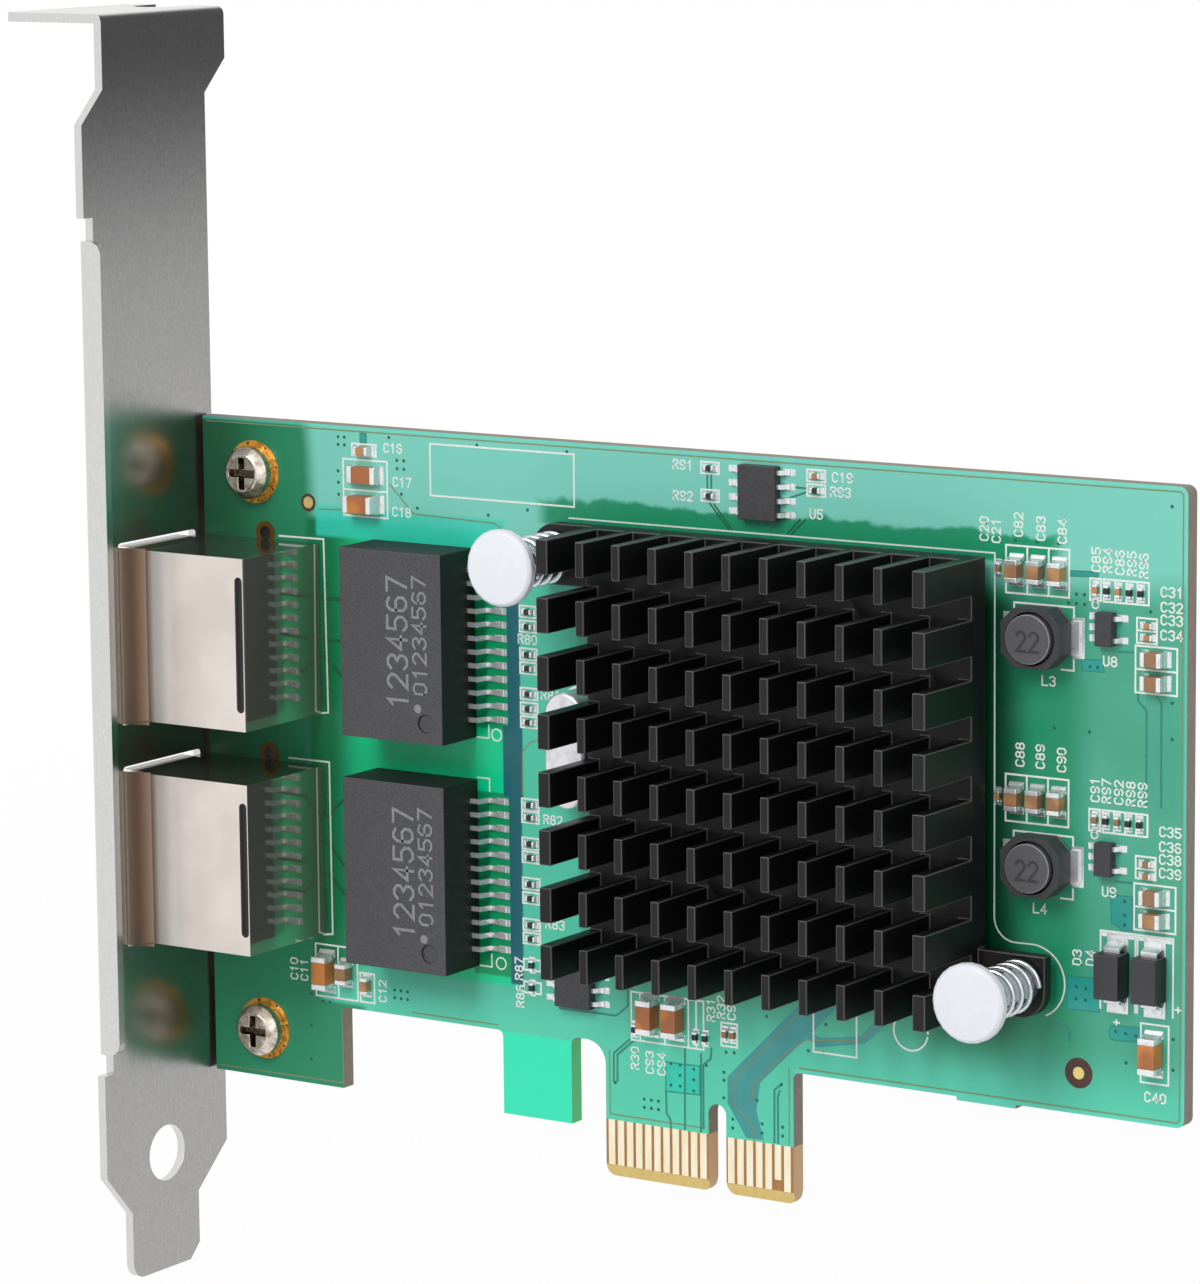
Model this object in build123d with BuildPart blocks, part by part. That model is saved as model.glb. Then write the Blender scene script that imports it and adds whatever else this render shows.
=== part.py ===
# Dual-port network interface card: board, mounting bracket, two jacks and everything on the board.
# Millimetres. +X runs to the free end of the card, +Z is up, the component side faces -Y.
# The origin is the middle of the key notch, on the bottom line of the edge contacts,
# half way through the board.

import os
from math import cos, pi, sin

from build123d import *

os.makedirs("parts", exist_ok=True)

# Board
board_thick = 1.6
board_left = -57.44
board_top = 67.9
board_bottom = 12.3
tab_bottom = 4.4
left_tab_width = 15.25
hook_tab_width = 7.67
hook_gap = 3.79
block_left = -12.15
block_right = 8.15
key_width = 1.9
key_top = 8.3
bevel_height = 1.1
bevel_depth = 0.4
corner_radius = 0.8
inner_corner_radius = 0.6
notch_rise = 0.32
notch_near_radius = 0.8
notch_far_radius = 2.1
breakoff_width = 6.0
breakoff_height = 0.35
breakoff_setback = 19.55
small_round_sides = 12
large_round_sides = 24

# Edge contacts
contact_pitch = 1.0
contact_width = 0.7
contact_low = 1.15
contact_high = 5.4
contact_thick = 0.05
short_contact_loss = 1.0
left_contacts = 11
right_contacts = 7
contact_margin = 0.65
second_contact = 1

# Mounting bracket, one folded sheet
sheet = 0.86
bracket_gap = 0.46
bracket_width = 18.42
bracket_far = 1.17
bracket_height = 120.02
flange_top = 106.29
flange_depth = 11.43
offset_shift = 3.17
offset_low = 96.3
offset_rise = 3.1
far_offset_lift = 2.0
lip_rise = 12.1
lip_high = 85.65
lip_reach = 2.7
lip_radius = 1.3
relief_depth = 1.3
relief_height = 2.1
join_lap = 0.4
waist_rise = 10.63
waist_drop = 4.1
tongue_width = 10.19
tongue_inset = 3.65
tongue_chamfer = 1.45
bracket_hole_d = 5.4
bracket_hole_inset = 9.1
bracket_hole_rise = 11.33
notch_width = 4.42
notch_depth = 6.2
notch_from_edge = 5.05
bend_radius = 0.8

# Bracket screws and the tabs behind the board that they enter
screw_inset = 5.95
upper_screw_drop = 5.0
lower_screw_rise = 4.75
screw_head_d = 5.0
screw_head_height = 1.9
screw_crown = 0.7
screw_shank_d = 2.9
tapped_hole_d = 3.0
screw_point = 1.0
recess_width = 0.7
recess_length = 3.0
recess_depth = 1.0
tab_height = 8.2
tab_margin = 4.0
ring_d = 6.0
screw_hole_d = 3.2

# Network jacks
jack_depth = 13.97
jack_width = 16.2
jack_height = 11.83
jack_pitch = 21.2
jack_shell = 0.3
upper_jack_drop = 19.4
cutout_margin = 0.53
cutout_near_margin = 0.78
cutout_far_margin = 0.89
cutout_radius = 0.4
slot_width = 0.85
slot_length = 12.7
slot_edge = 0.12
cavity_width = 11.7
cavity_height = 6.5
cavity_depth = 12.2
cavity_roof = 1.0
latch_width = 6.3
latch_height = 2.2
wire_pitch = 1.02
wire_width = 0.46
wire_count = 8
wire_thick = 0.35
wire_drop = 3.0
wire_foot = 0.8
wire_setback = 1.6
light_width = 2.4
light_height = 1.5
light_depth = 3.0
light_gap = 0.4
post_d = 2.9
post_spacing = 11.43
post_clearance = 0.2
post_setback = 5.03
post_tail = 1.0
pin_pitch = 2.54
pin_tail = 1.5
pin_size = 0.5
pin_row_insets = (3.6, 1.1)
pin_stagger = 0.25
solder_d = 1.5
solder_height = 0.7
solder_slope = 0.36
solder_foot = 0.1
solder_sides = 8
eyelet_d = 2.3
eyelet_hole_d = 1.3
eyelet_offset = 0.57
eyelet_shift = 0.7

# Network transformers
magnetics_width = 11.5
magnetics_length = 17.7
magnetics_height = 5.5
magnetics_gap = 6.33
magnetics_pins = 12
magnetics_pitch = 1.27
magnetics_lead_width = 0.45
magnetics_lead_height = 1.3
magnetics_lead_reach = 3.0
magnetics_shoulder = 1.0
upper_magnetics_shift = 0.1
lower_magnetics_shift = -0.3
dimple_d = 1.7
dimple_depth = 0.25
dimple_inset = 1.9

# Heat sink, its chip and its push pins
sink_width = 40.0
sink_centre_x = 8.55
sink_top_margin = 7.15
free_end_margin = 19.05
sink_base = 2.4
sink_fin_height = 8.0
fin_columns = 11
fin_rows = 8
fin_thick = 0.87
end_fin_thick = 1.25
fin_slot = 2.06
ear_thick = 1.25
ear_reach = 6.6
ear_width = 5.65
ear_radius = 2.4
pin_reach = 4.1
pin_inset = 3.0
ear_hole_d = 3.5
pin_hole_d = 3.2
chip_width = 25.0
chip_height = 0.85
pad_thick = 0.2
pin_head_d = 7.0
pin_head_thick = 1.0
pin_head_round = 0.3
pin_shank_d = 2.8
pin_barb_d = 4.0
pin_barb_length = 3.4
pin_barb_tip_d = 2.0
pin_split = 0.8
spring_wire = 0.5
spring_d = 4.8
spring_turns = 5
spring_sides = 4
spring_steps_per_turn = 10

# Small chips
small_chip_width = 3.9
small_chip_length = 4.9
small_chip_height = 1.05
small_chip_pitch = 1.27
small_chip_reach = 6.1
small_chip_lift = 0.05
small_lead_width = 0.42
small_lead_height = 0.68
small_shoulder = 0.35
lead_thick = 0.2
lead_drop = 0.35
regulator_width = 1.6
regulator_length = 2.9
regulator_height = 1.1
regulator_reach = 2.9
regulator_pitch = 0.95
regulator_lead_height = 0.66
regulator_lead_thick = 0.15
regulator_shoulder = 0.25

# Inductors, diodes and crystal
coil_width = 5.8
coil_length = 5.2
coil_chamfer = 1.3
coil_base = 0.35
coil_ring_height = 2.1
coil_ring_bore = 4.7
coil_drum_d = 4.36
coil_flange = 0.75
coil_height = 2.9
coil_post_d = 2.2
coil_winding_d = 4.1
coil_terminal_width = 3.0
coil_terminal_reach = 0.75
diode_width = 2.4
diode_length = 4.0
diode_height = 2.2
diode_lift = 0.1
diode_lead_width = 1.5
diode_lead_height = 1.1
diode_lead_reach = 1.2
diode_shoulder = 0.45
crystal_width = 4.4
crystal_length = 10.8
crystal_height = 3.5
crystal_base = 0.4
crystal_rim = 0.2
crystal_gap = 0.25
crystal_round = 0.25

# Chip capacitors and resistors: length, width, height and end cap of each case size
case_0402 = (1.0, 0.5, 0.4, 0.24)
case_0603 = (1.6, 0.8, 0.8, 0.35)
case_0805 = (2.0, 1.25, 1.25, 0.45)
case_1206 = (3.2, 1.6, 1.6, 0.55)
flat_1206 = (3.2, 1.6, 0.9, 0.55)
row_pitch = 1.09
row_count = 5
converter_drop = 5.5
converter_pitch = 20.0
mark_d = 1.1

# Lines the rest is set out from
front = -board_thick / 2
back = board_thick / 2
inner_x = board_left - bracket_gap
outer_x = inner_x - sheet
bracket_near = bracket_far - bracket_width
screw_x = board_left + screw_inset
upper_screw_z = board_top - upper_screw_drop
lower_screw_z = tab_bottom + lower_screw_rise
jack_rear = inner_x + jack_depth
jack_near = front - jack_height
upper_jack_z = board_top - upper_jack_drop
lower_jack_z = upper_jack_z - jack_pitch
sink_left = sink_centre_x - sink_width / 2
sink_right = sink_centre_x + sink_width / 2
sink_high = board_top - sink_top_margin
sink_low = sink_high - sink_width
sink_centre_z = (sink_high + sink_low) / 2
board_right = sink_right + free_end_margin
sink_lift = chip_height + pad_thick
magnetics_x = jack_rear + magnetics_gap + magnetics_width / 2
left_tab_right = board_left + left_tab_width
hook_right = block_left - hook_gap
hook_left = hook_right - hook_tab_width
notch_top = board_bottom + notch_rise
breakoff_x = board_right - breakoff_setback
pin_spots = [
    (sink_left - pin_reach, sink_high - pin_inset),
    (sink_right + pin_reach, sink_low + pin_inset),
]
screw_spots = [(screw_x, upper_screw_z), (screw_x, lower_screw_z)]
jack_levels = [upper_jack_z, lower_jack_z]
jack_middle = (inner_x + jack_rear) / 2
post_x = inner_x + post_setback
eyelet_x = jack_middle + eyelet_shift
jack_lane = jack_width / 2 + eyelet_offset
eyelet_spots = [(eyelet_x, z + side * jack_lane) for z in jack_levels for side in (1, -1)]
post_spots = [(post_x, z + side * post_spacing / 2) for z in jack_levels for side in (1, -1)]


def above(height):
    """Plane that lies a height above the component side, facing away from the board."""
    return Plane.XZ.offset(board_thick / 2 + height)


def rear(depth):
    """Plane that lies a depth behind the solder side, still facing the component side."""
    return Plane.XZ.offset(-board_thick / 2 - depth)


def small_round(diameter, mode=Mode.ADD):
    """A round of a millimetre or two, drawn with straight sides that no eye would find."""
    RegularPolygon(diameter / 2, small_round_sides, mode=mode)


def large_round(diameter, mode=Mode.ADD):
    """A round of several millimetres, drawn in the same way with more sides."""
    RegularPolygon(diameter / 2, large_round_sides, mode=mode)


def save(built, name):
    """Label one finished piece and write it."""
    built.label = name
    export_step(built, "parts/" + name + ".step")


# Board, with its tabs, the key notch and every hole
with BuildPart() as pcb:
    with BuildSketch(Plane.XZ):
        with BuildLine():
            Polyline(
                (board_left, board_top),
                (board_right, board_top),
                (board_right, board_bottom),
                (block_right, board_bottom),
                (block_right, 0),
                (block_left, 0),
                (block_left, notch_top),
                (hook_right, notch_top),
                (hook_right, tab_bottom),
                (hook_left, tab_bottom),
                (hook_left, board_bottom),
                (left_tab_right, board_bottom),
                (left_tab_right, tab_bottom),
                (board_left, tab_bottom),
                close=True,
            )
        make_face()
        with Locations((breakoff_x, board_bottom - breakoff_height / 2)):
            Rectangle(breakoff_width, breakoff_height)
        with Locations((0, key_top / 2 - key_width)):
            SlotOverall(key_top + 2 * key_width, key_width, rotation=90, mode=Mode.SUBTRACT)
        with Locations(*screw_spots):
            Circle(screw_hole_d / 2, mode=Mode.SUBTRACT)
        with Locations(*pin_spots):
            Circle(pin_hole_d / 2, mode=Mode.SUBTRACT)
        with Locations(*eyelet_spots):
            small_round(eyelet_hole_d, mode=Mode.SUBTRACT)
        with Locations(*post_spots):
            small_round(post_d + post_clearance, mode=Mode.SUBTRACT)
    extrude(amount=board_thick / 2, both=True)
    for x, z, radius in (
        (board_right, board_top, corner_radius),
        (board_right, board_bottom, corner_radius),
        (block_right, board_bottom, inner_corner_radius),
        (left_tab_right, board_bottom, inner_corner_radius),
        (hook_left, board_bottom, inner_corner_radius),
        (hook_right, notch_top, notch_near_radius),
        (block_left, notch_top, notch_far_radius),
        (block_left, 0, corner_radius),
        (-key_width / 2, 0, corner_radius),
        (key_width / 2, 0, corner_radius),
        (block_right, 0, corner_radius),
    ):
        corner = pcb.edges().filter_by(Axis.Y).sort_by_distance((x, 0, z))[0]
        fillet(corner, radius=radius)
    with BuildSketch(Plane.YZ.offset(block_left)):
        Polygon((back - bevel_depth, 0), (back, 0), (back, bevel_height), align=None)
        Polygon((front, 0), (front + bevel_depth, 0), (front, bevel_height), align=None)
    extrude(amount=block_right - block_left, mode=Mode.SUBTRACT)
save(pcb.part, "pcb")

# Gold edge contacts on both faces
left_pad_x = [block_left + contact_margin + contact_pitch * i for i in range(left_contacts)]
right_pad_x = [block_right - contact_margin - contact_pitch * i for i in range(right_contacts)]
pad_height = contact_high - contact_low
pad_middle = (contact_high + contact_low) / 2
short_pad_x = right_pad_x[second_contact]
full_pads = [(x, pad_middle) for x in left_pad_x + right_pad_x if x != short_pad_x]
short_pad = (short_pad_x, pad_middle + short_contact_loss / 2)

with BuildPart() as edge_contacts_front:
    with BuildSketch(above(0)):
        with Locations(*full_pads):
            Rectangle(contact_width, pad_height)
        with Locations(short_pad):
            Rectangle(contact_width, pad_height - short_contact_loss)
    extrude(amount=contact_thick)
save(edge_contacts_front.part, "edge_contacts_front")

with BuildPart() as edge_contacts_back:
    with BuildSketch(rear(0)):
        with Locations(*full_pads):
            Rectangle(contact_width, pad_height)
        with Locations(short_pad):
            Rectangle(contact_width, pad_height)
    extrude(amount=-contact_thick)
save(edge_contacts_back.part, "edge_contacts_back")

# Gold rings round the screw holes and the plated eyelets beside the jacks
with BuildPart() as plated_rings:
    with BuildSketch(above(0)):
        with Locations(*screw_spots):
            large_round(ring_d)
            large_round(screw_hole_d, mode=Mode.SUBTRACT)
        with Locations(*eyelet_spots):
            small_round(eyelet_d)
            small_round(eyelet_hole_d, mode=Mode.SUBTRACT)
    extrude(amount=contact_thick)
    with BuildSketch(above(0)):
        for z in jack_levels:
            with Locations((jack_middle, z)):
                Rectangle(jack_depth + 2 * contact_thick, jack_width)
    extrude(amount=contact_thick, mode=Mode.SUBTRACT)
save(plated_rings.part, "plated_rings")

# Bracket: flat outline first, then the lip, the tabs and the top flange
near = bracket_near
far = bracket_far
foot = flange_top - bracket_height
bend_z = flange_top - sheet
tongue_near = near + tongue_inset
tongue_far = tongue_near + tongue_width
waist_top = foot + waist_rise
waist_low = waist_top - waist_drop
lip_low = waist_top + lip_rise
tab_spots = [upper_screw_z, lower_screw_z]
with BuildPart() as bracket:
    with BuildSketch(Plane.YZ.offset(outer_x)):
        with BuildLine():
            Polyline(
                (near + offset_shift, flange_top),
                (near + offset_shift, offset_low + offset_rise),
                (near, offset_low),
                (near, lip_high + relief_height),
                (near + relief_depth, lip_high + relief_height),
                (near + relief_depth, lip_high),
                (near, lip_high),
                (near, lip_low),
                (near + relief_depth, lip_low),
                (near + relief_depth, lip_low - relief_height),
                (near, lip_low - relief_height),
                (near, waist_top),
                (tongue_near, waist_low),
                (tongue_near, foot),
                (tongue_far - tongue_chamfer, foot),
                (tongue_far, foot + tongue_chamfer),
                (tongue_far, waist_low),
                (far, waist_top),
                (far, offset_low + far_offset_lift),
                (far + offset_shift, offset_low + offset_rise + far_offset_lift),
                (far + offset_shift, flange_top),
                close=True,
            )
        make_face()
        for z in jack_levels:
            with Locations(((jack_near - cutout_near_margin + front - cutout_far_margin) / 2, z)):
                RectangleRounded(
                    jack_height + cutout_near_margin - cutout_far_margin,
                    jack_width + 2 * cutout_margin,
                    cutout_radius,
                    mode=Mode.SUBTRACT,
                )
        with Locations((near + bracket_hole_inset, foot + bracket_hole_rise)):
            Circle(bracket_hole_d / 2, mode=Mode.SUBTRACT)
        for z in tab_spots:
            with Locations(((far + back + sheet - join_lap) / 2, z)):
                Rectangle(back + sheet - far + join_lap, tab_height)
    extrude(amount=sheet)
    with BuildSketch(Plane.XZ.offset(-near)):
        with Locations((outer_x + lip_reach / 2, (lip_low + lip_high) / 2)):
            Rectangle(lip_reach, lip_high - lip_low)
    extrude(amount=-sheet)
    with BuildSketch(rear(0)):
        for z in tab_spots:
            with Locations(((outer_x + screw_x + tab_margin) / 2, z)):
                Rectangle(screw_x + tab_margin - outer_x, tab_height)
        with Locations(*screw_spots):
            Circle(tapped_hole_d / 2, mode=Mode.SUBTRACT)
    extrude(amount=-sheet)
    with BuildSketch(Plane.XY.offset(bend_z)):
        with Locations((inner_x - flange_depth / 2, (near + far) / 2 + offset_shift)):
            Rectangle(flange_depth, bracket_width)
        with Locations((outer_x - notch_from_edge, far + offset_shift - (notch_depth - notch_width) / 2)):
            SlotOverall(2 * notch_depth - notch_width, notch_width, rotation=90, mode=Mode.SUBTRACT)
    extrude(amount=sheet)
    top_bend = bracket.edges().filter_by(Axis.Y).sort_by_distance((inner_x, near + far, flange_top))[0]
    fillet(top_bend, radius=bend_radius)
    lip_middle = (lip_low + lip_high) / 2
    lip_corner = bracket.edges().filter_by(Axis.Z).sort_by_distance((outer_x, near, lip_middle))[0]
    fillet(lip_corner, radius=bend_radius)
    lip_end = outer_x + lip_reach
    low_free = bracket.edges().filter_by(Axis.Y).sort_by_distance((lip_end, near, lip_low))[0]
    high_free = bracket.edges().filter_by(Axis.Y).sort_by_distance((lip_end, near, lip_high))[0]
    fillet([low_free, high_free], radius=lip_radius)
    flange_corners = bracket.edges().filter_by(Axis.Z).group_by(Axis.X)[0]
    fillet(flange_corners, radius=corner_radius)
    tongue_corner = bracket.edges().filter_by(Axis.X).sort_by_distance((inner_x, tongue_near, foot))[0]
    fillet(tongue_corner, radius=2 * corner_radius)
save(bracket.part, "bracket")

# Cross-recessed pan-head screws
head_seat = contact_thick
grip = board_thick + sheet + head_seat + screw_point
with BuildPart() as bracket_screws:
    with BuildSketch(above(head_seat)):
        with Locations(*screw_spots):
            large_round(screw_head_d)
    extrude(amount=screw_head_height)
    crowns = bracket_screws.faces().sort_by(Axis.Y)[0:2].edges()
    chamfer(crowns, length=screw_crown)
    with BuildSketch(above(head_seat)):
        with Locations(*screw_spots):
            Circle(screw_shank_d / 2)
    extrude(amount=-grip)
    with BuildSketch(above(head_seat + screw_head_height)):
        with Locations(*screw_spots):
            Rectangle(recess_length, recess_width)
            Rectangle(recess_width, recess_length)
    extrude(amount=-recess_depth, mode=Mode.SUBTRACT)
save(bracket_screws.part, "bracket_screws")

# Jacks: plated shield, black insulator, contact wires and light windows
roof_y = jack_near + jack_shell + cavity_roof
floor_y = roof_y + cavity_height
cavity_end = inner_x + cavity_depth
wire_start = inner_x + wire_setback
light_lane = (latch_width / 2 + jack_width / 2 - jack_shell) / 2
light_y = floor_y + light_gap + light_height / 2
light_x = inner_x + light_depth / 2


def jack_shield(z):
    """Folded shield with an open front and an open side towards the board."""
    with BuildPart() as shield:
        with Locations(((inner_x + jack_rear) / 2, (jack_near + front) / 2, z)):
            Box(jack_depth, jack_height, jack_width)
        with Locations(((inner_x + jack_rear - jack_shell) / 2, (jack_near + jack_shell + front) / 2, z)):
            Box(
                jack_depth - jack_shell,
                jack_height - jack_shell,
                jack_width - 2 * jack_shell,
                mode=Mode.SUBTRACT,
            )
        with BuildSketch(above(jack_height)):
            with Locations((jack_rear - slot_width / 2 - slot_edge, z)):
                SlotOverall(slot_length, slot_width, rotation=90)
        extrude(amount=-jack_shell, mode=Mode.SUBTRACT)
    return shield.part


def jack_body(z):
    """Insulator with the plug cavity, the latch way, light pockets and two board posts."""
    body_length = jack_depth - jack_shell
    body_middle = inner_x + body_length / 2
    with BuildPart() as body:
        with Locations((body_middle, (jack_near + jack_shell + front) / 2, z)):
            Box(body_length, jack_height - jack_shell, jack_width - 2 * jack_shell)
        with Locations((inner_x + cavity_depth / 2, (roof_y + floor_y) / 2, z)):
            Box(cavity_depth, cavity_height, cavity_width, mode=Mode.SUBTRACT)
        with Locations((inner_x + cavity_depth / 2, floor_y + latch_height / 2, z)):
            Box(cavity_depth, latch_height, latch_width, mode=Mode.SUBTRACT)
        with Locations(*[(light_x, light_y, z + s * light_lane) for s in (1, -1)]):
            Box(light_depth, light_height, light_width, mode=Mode.SUBTRACT)
        with BuildSketch(above(0)):
            with Locations(*[(post_x, z + s * post_spacing / 2) for s in (1, -1)]):
                small_round(post_d)
        extrude(amount=-board_thick - post_tail)
    return body.part


def jack_wires(z):
    """Eight springy contact wires that slope from the roof of the cavity to its end wall."""
    first = z - wire_pitch * (wire_count - 1) / 2 - wire_width / 2
    planes = [Plane.XY.offset(first + wire_pitch * i) for i in range(wire_count)]
    with BuildPart() as wires:
        with BuildSketch(*planes):
            Polygon(
                (wire_start, roof_y),
                (wire_start + wire_foot, roof_y),
                (cavity_end, roof_y + wire_drop),
                (cavity_end, roof_y + wire_drop + wire_thick),
                align=None,
            )
        extrude(amount=wire_width)
    return wires.part


def jack_lights(z):
    """Two clear light windows beside the latch way."""
    with BuildPart() as lights:
        with Locations(*[(light_x, light_y, z + s * light_lane) for s in (1, -1)]):
            Box(light_depth, light_height, light_width)
    return lights.part


for word, z in (("upper", upper_jack_z), ("lower", lower_jack_z)):
    save(jack_shield(z), word + "_jack_shield")
    save(jack_body(z), word + "_jack_body")
    save(jack_wires(z), word + "_jack_contacts")
    save(jack_lights(z), word + "_jack_lights")

# Soldered pin ends of both jacks on the solder side
pin_rows = list(zip([jack_rear - inset for inset in pin_row_insets], (pin_stagger, -pin_stagger)))
tail_spots = [
    (x, z + pin_pitch * (i - 1.5 + shift))
    for z in jack_levels
    for x, shift in pin_rows
    for i in range(4)
]


def solder_cone(x, z):
    """One cone of solder on the solder side, with a few flat sides."""
    with BuildPart() as cone:
        with BuildSketch(rear(0)):
            with Locations((x, z)):
                RegularPolygon(solder_d / 2, solder_sides)
        extrude(amount=-solder_height)
        tip = cone.faces().sort_by(Axis.Y)[-1]
        chamfer(tip.edges(), length=solder_slope, length2=solder_height - solder_foot, reference=tip)
    return cone.part


solder_cones = [solder_cone(x, z) for x, z in tail_spots]
with BuildPart() as jack_solder_joints:
    add(solder_cones)
    with BuildSketch(rear(0)):
        with Locations(*tail_spots):
            Rectangle(pin_size, pin_size)
    extrude(amount=-pin_tail)
save(jack_solder_joints.part, "jack_solder_joints")


def bent_lead(edge, side, height, reach, shoulder, thick):
    """Outline of a bent lead: distances away from the body side, heights above the board."""
    shape = [
        (0, height),
        (shoulder, height),
        (shoulder + lead_drop, thick),
        (reach, thick),
        (reach, 0),
        (shoulder + lead_drop - thick, 0),
        (shoulder - thick, height - thick),
        (0, height - thick),
    ]
    return [(edge + side * along, front - up) for along, up in shape]


def leads_along_x(edge, side, spots, width, height, reach, shoulder, thick=lead_thick):
    """Row of bent leads that leave a body side facing +X or -X, one at each Z in spots."""
    with BuildPart() as row:
        with BuildSketch(*[Plane.XY.offset(z - width / 2) for z in spots]):
            Polygon(*bent_lead(edge, side, height, reach, shoulder, thick), align=None)
        extrude(amount=width)
    return row.part


def even_spots(middle, count, pitch):
    """Evenly spaced values about a middle one."""
    return [middle + pitch * (i - (count - 1) / 2) for i in range(count)]


# Network transformers: moulded bodies with twelve leads on each side
magnetics_levels = {
    "upper": upper_jack_z + upper_magnetics_shift,
    "lower": lower_jack_z + lower_magnetics_shift,
}
for word, z in magnetics_levels.items():
    with BuildPart() as moulding:
        with BuildSketch(above(0)):
            with Locations((magnetics_x, z)):
                Rectangle(magnetics_width, magnetics_length)
        extrude(amount=magnetics_height)
        with BuildSketch(above(magnetics_height)):
            dimple_x = magnetics_x + magnetics_width / 2 - dimple_inset
            with Locations((dimple_x, z - magnetics_length / 2 + dimple_inset)):
                Circle(dimple_d / 2)
        extrude(amount=-dimple_depth, mode=Mode.SUBTRACT)
    save(moulding.part, word + "_magnetics")
    pins = even_spots(z, magnetics_pins, magnetics_pitch)
    rows = [
        leads_along_x(
            magnetics_x + side * magnetics_width / 2,
            side,
            pins,
            magnetics_lead_width,
            magnetics_lead_height,
            magnetics_lead_reach,
            magnetics_shoulder,
        )
        for side in (1, -1)
    ]
    with BuildPart() as leads:
        add(rows)
    save(leads.part, word + "_magnetics_leads")

# Controller chip and the thermal pad between it and the heat sink
with BuildPart() as controller_chip:
    with BuildSketch(above(0)):
        with Locations((sink_centre_x, sink_centre_z)):
            Rectangle(chip_width, chip_width)
    extrude(amount=chip_height)
save(controller_chip.part, "controller_chip")

with BuildPart() as thermal_pad:
    with BuildSketch(above(chip_height)):
        with Locations((sink_centre_x, sink_centre_z)):
            Rectangle(chip_width, chip_width)
    extrude(amount=pad_thick)
save(thermal_pad.part, "thermal_pad")

# Heat sink: base with two ears, long fins, then the cross slots that part the fins
fin_gap = (sink_width - 2 * end_fin_thick - (fin_columns - 2) * fin_thick) / (fin_columns - 1)
first_inner = sink_left + end_fin_thick + fin_gap + fin_thick / 2
inner_fins = [first_inner + (fin_gap + fin_thick) * i for i in range(fin_columns - 2)]
end_fins = [sink_left + end_fin_thick / 2, sink_right - end_fin_thick / 2]
slot_step = (sink_width + fin_slot) / fin_rows
slots = [sink_high + fin_slot / 2 - slot_step * i for i in range(1, fin_rows)]
with BuildPart() as heat_sink:
    with BuildSketch(above(sink_lift)):
        with Locations((sink_centre_x, sink_centre_z)):
            Rectangle(sink_width, sink_width)
    extrude(amount=sink_base)
    with BuildSketch(above(sink_lift)):
        with Locations((sink_left - ear_reach / 2, sink_high - ear_width / 2)):
            Rectangle(ear_reach, ear_width)
        with Locations((sink_right + ear_reach / 2, sink_low + ear_width / 2)):
            Rectangle(ear_reach, ear_width)
        with Locations(*pin_spots):
            Circle(ear_hole_d / 2, mode=Mode.SUBTRACT)
    extrude(amount=ear_thick)
    ear_corners = heat_sink.edges().filter_by(Axis.Y)
    high_corner = ear_corners.sort_by_distance((sink_left - ear_reach, front - sink_lift, sink_high))[0]
    low_corner = ear_corners.sort_by_distance((sink_right + ear_reach, front - sink_lift, sink_low))[0]
    fillet([high_corner, low_corner], radius=ear_radius)
    with BuildSketch(above(sink_lift + sink_base)):
        with Locations(*[(x, sink_centre_z) for x in inner_fins]):
            Rectangle(fin_thick, sink_width)
        with Locations(*[(x, sink_centre_z) for x in end_fins]):
            Rectangle(end_fin_thick, sink_width)
    extrude(amount=sink_fin_height)
    with BuildSketch(above(sink_lift + sink_base)):
        with Locations(*[(sink_centre_x, z) for z in slots]):
            Rectangle(sink_width + 1, fin_slot)
    extrude(amount=sink_fin_height, mode=Mode.SUBTRACT)
save(heat_sink.part, "heat_sink")

# Push pins with split barbs, and the springs under their heads
head_top = sink_lift + sink_base + sink_fin_height
head_under = head_top - pin_head_thick
for word, spot in (("upper", pin_spots[0]), ("lower", pin_spots[1])):
    with BuildPart() as push_pin:
        with BuildSketch(above(head_under)):
            with Locations(spot):
                large_round(pin_head_d)
        extrude(amount=pin_head_thick)
        head_edge = push_pin.faces().sort_by(Axis.Y)[0].edges()
        chamfer(head_edge, length=pin_head_round)
        with BuildSketch(above(head_under)):
            with Locations(spot):
                small_round(pin_shank_d)
        extrude(amount=-head_under - board_thick)
        for depth, diameter in ((0, pin_barb_d), (pin_barb_length, pin_barb_tip_d)):
            with BuildSketch(rear(depth)):
                with Locations(spot):
                    small_round(diameter)
        loft(ruled=True)
        with BuildSketch(rear(0)):
            with Locations(spot):
                Rectangle(pin_split, pin_barb_d)
        extrude(amount=-pin_barb_length, mode=Mode.SUBTRACT)
    save(push_pin.part, word + "_push_pin")

spring_room = head_under - sink_lift - ear_thick
spring_radius = (spring_d - spring_wire) / 2
spring_steps = spring_turns * spring_steps_per_turn
with BuildPart() as push_pin_springs:
    for x, z in pin_spots:
        low = sink_lift + ear_thick + spring_wire / 2
        turns = [2 * pi * i / spring_steps_per_turn for i in range(spring_steps + 1)]
        rise = (spring_room - spring_wire) / spring_steps
        with BuildLine() as coil:
            Polyline(
                *[
                    (x + spring_radius * cos(turn), front - low - rise * i, z + spring_radius * sin(turn))
                    for i, turn in enumerate(turns)
                ]
            )
        with BuildSketch(Plane(origin=coil.line @ 0, z_dir=coil.line % 0)):
            RegularPolygon(spring_wire / 2, spring_sides)
        sweep(path=coil.line, transition=Transition.RIGHT)
save(push_pin_springs.part, "push_pin_springs")

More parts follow.
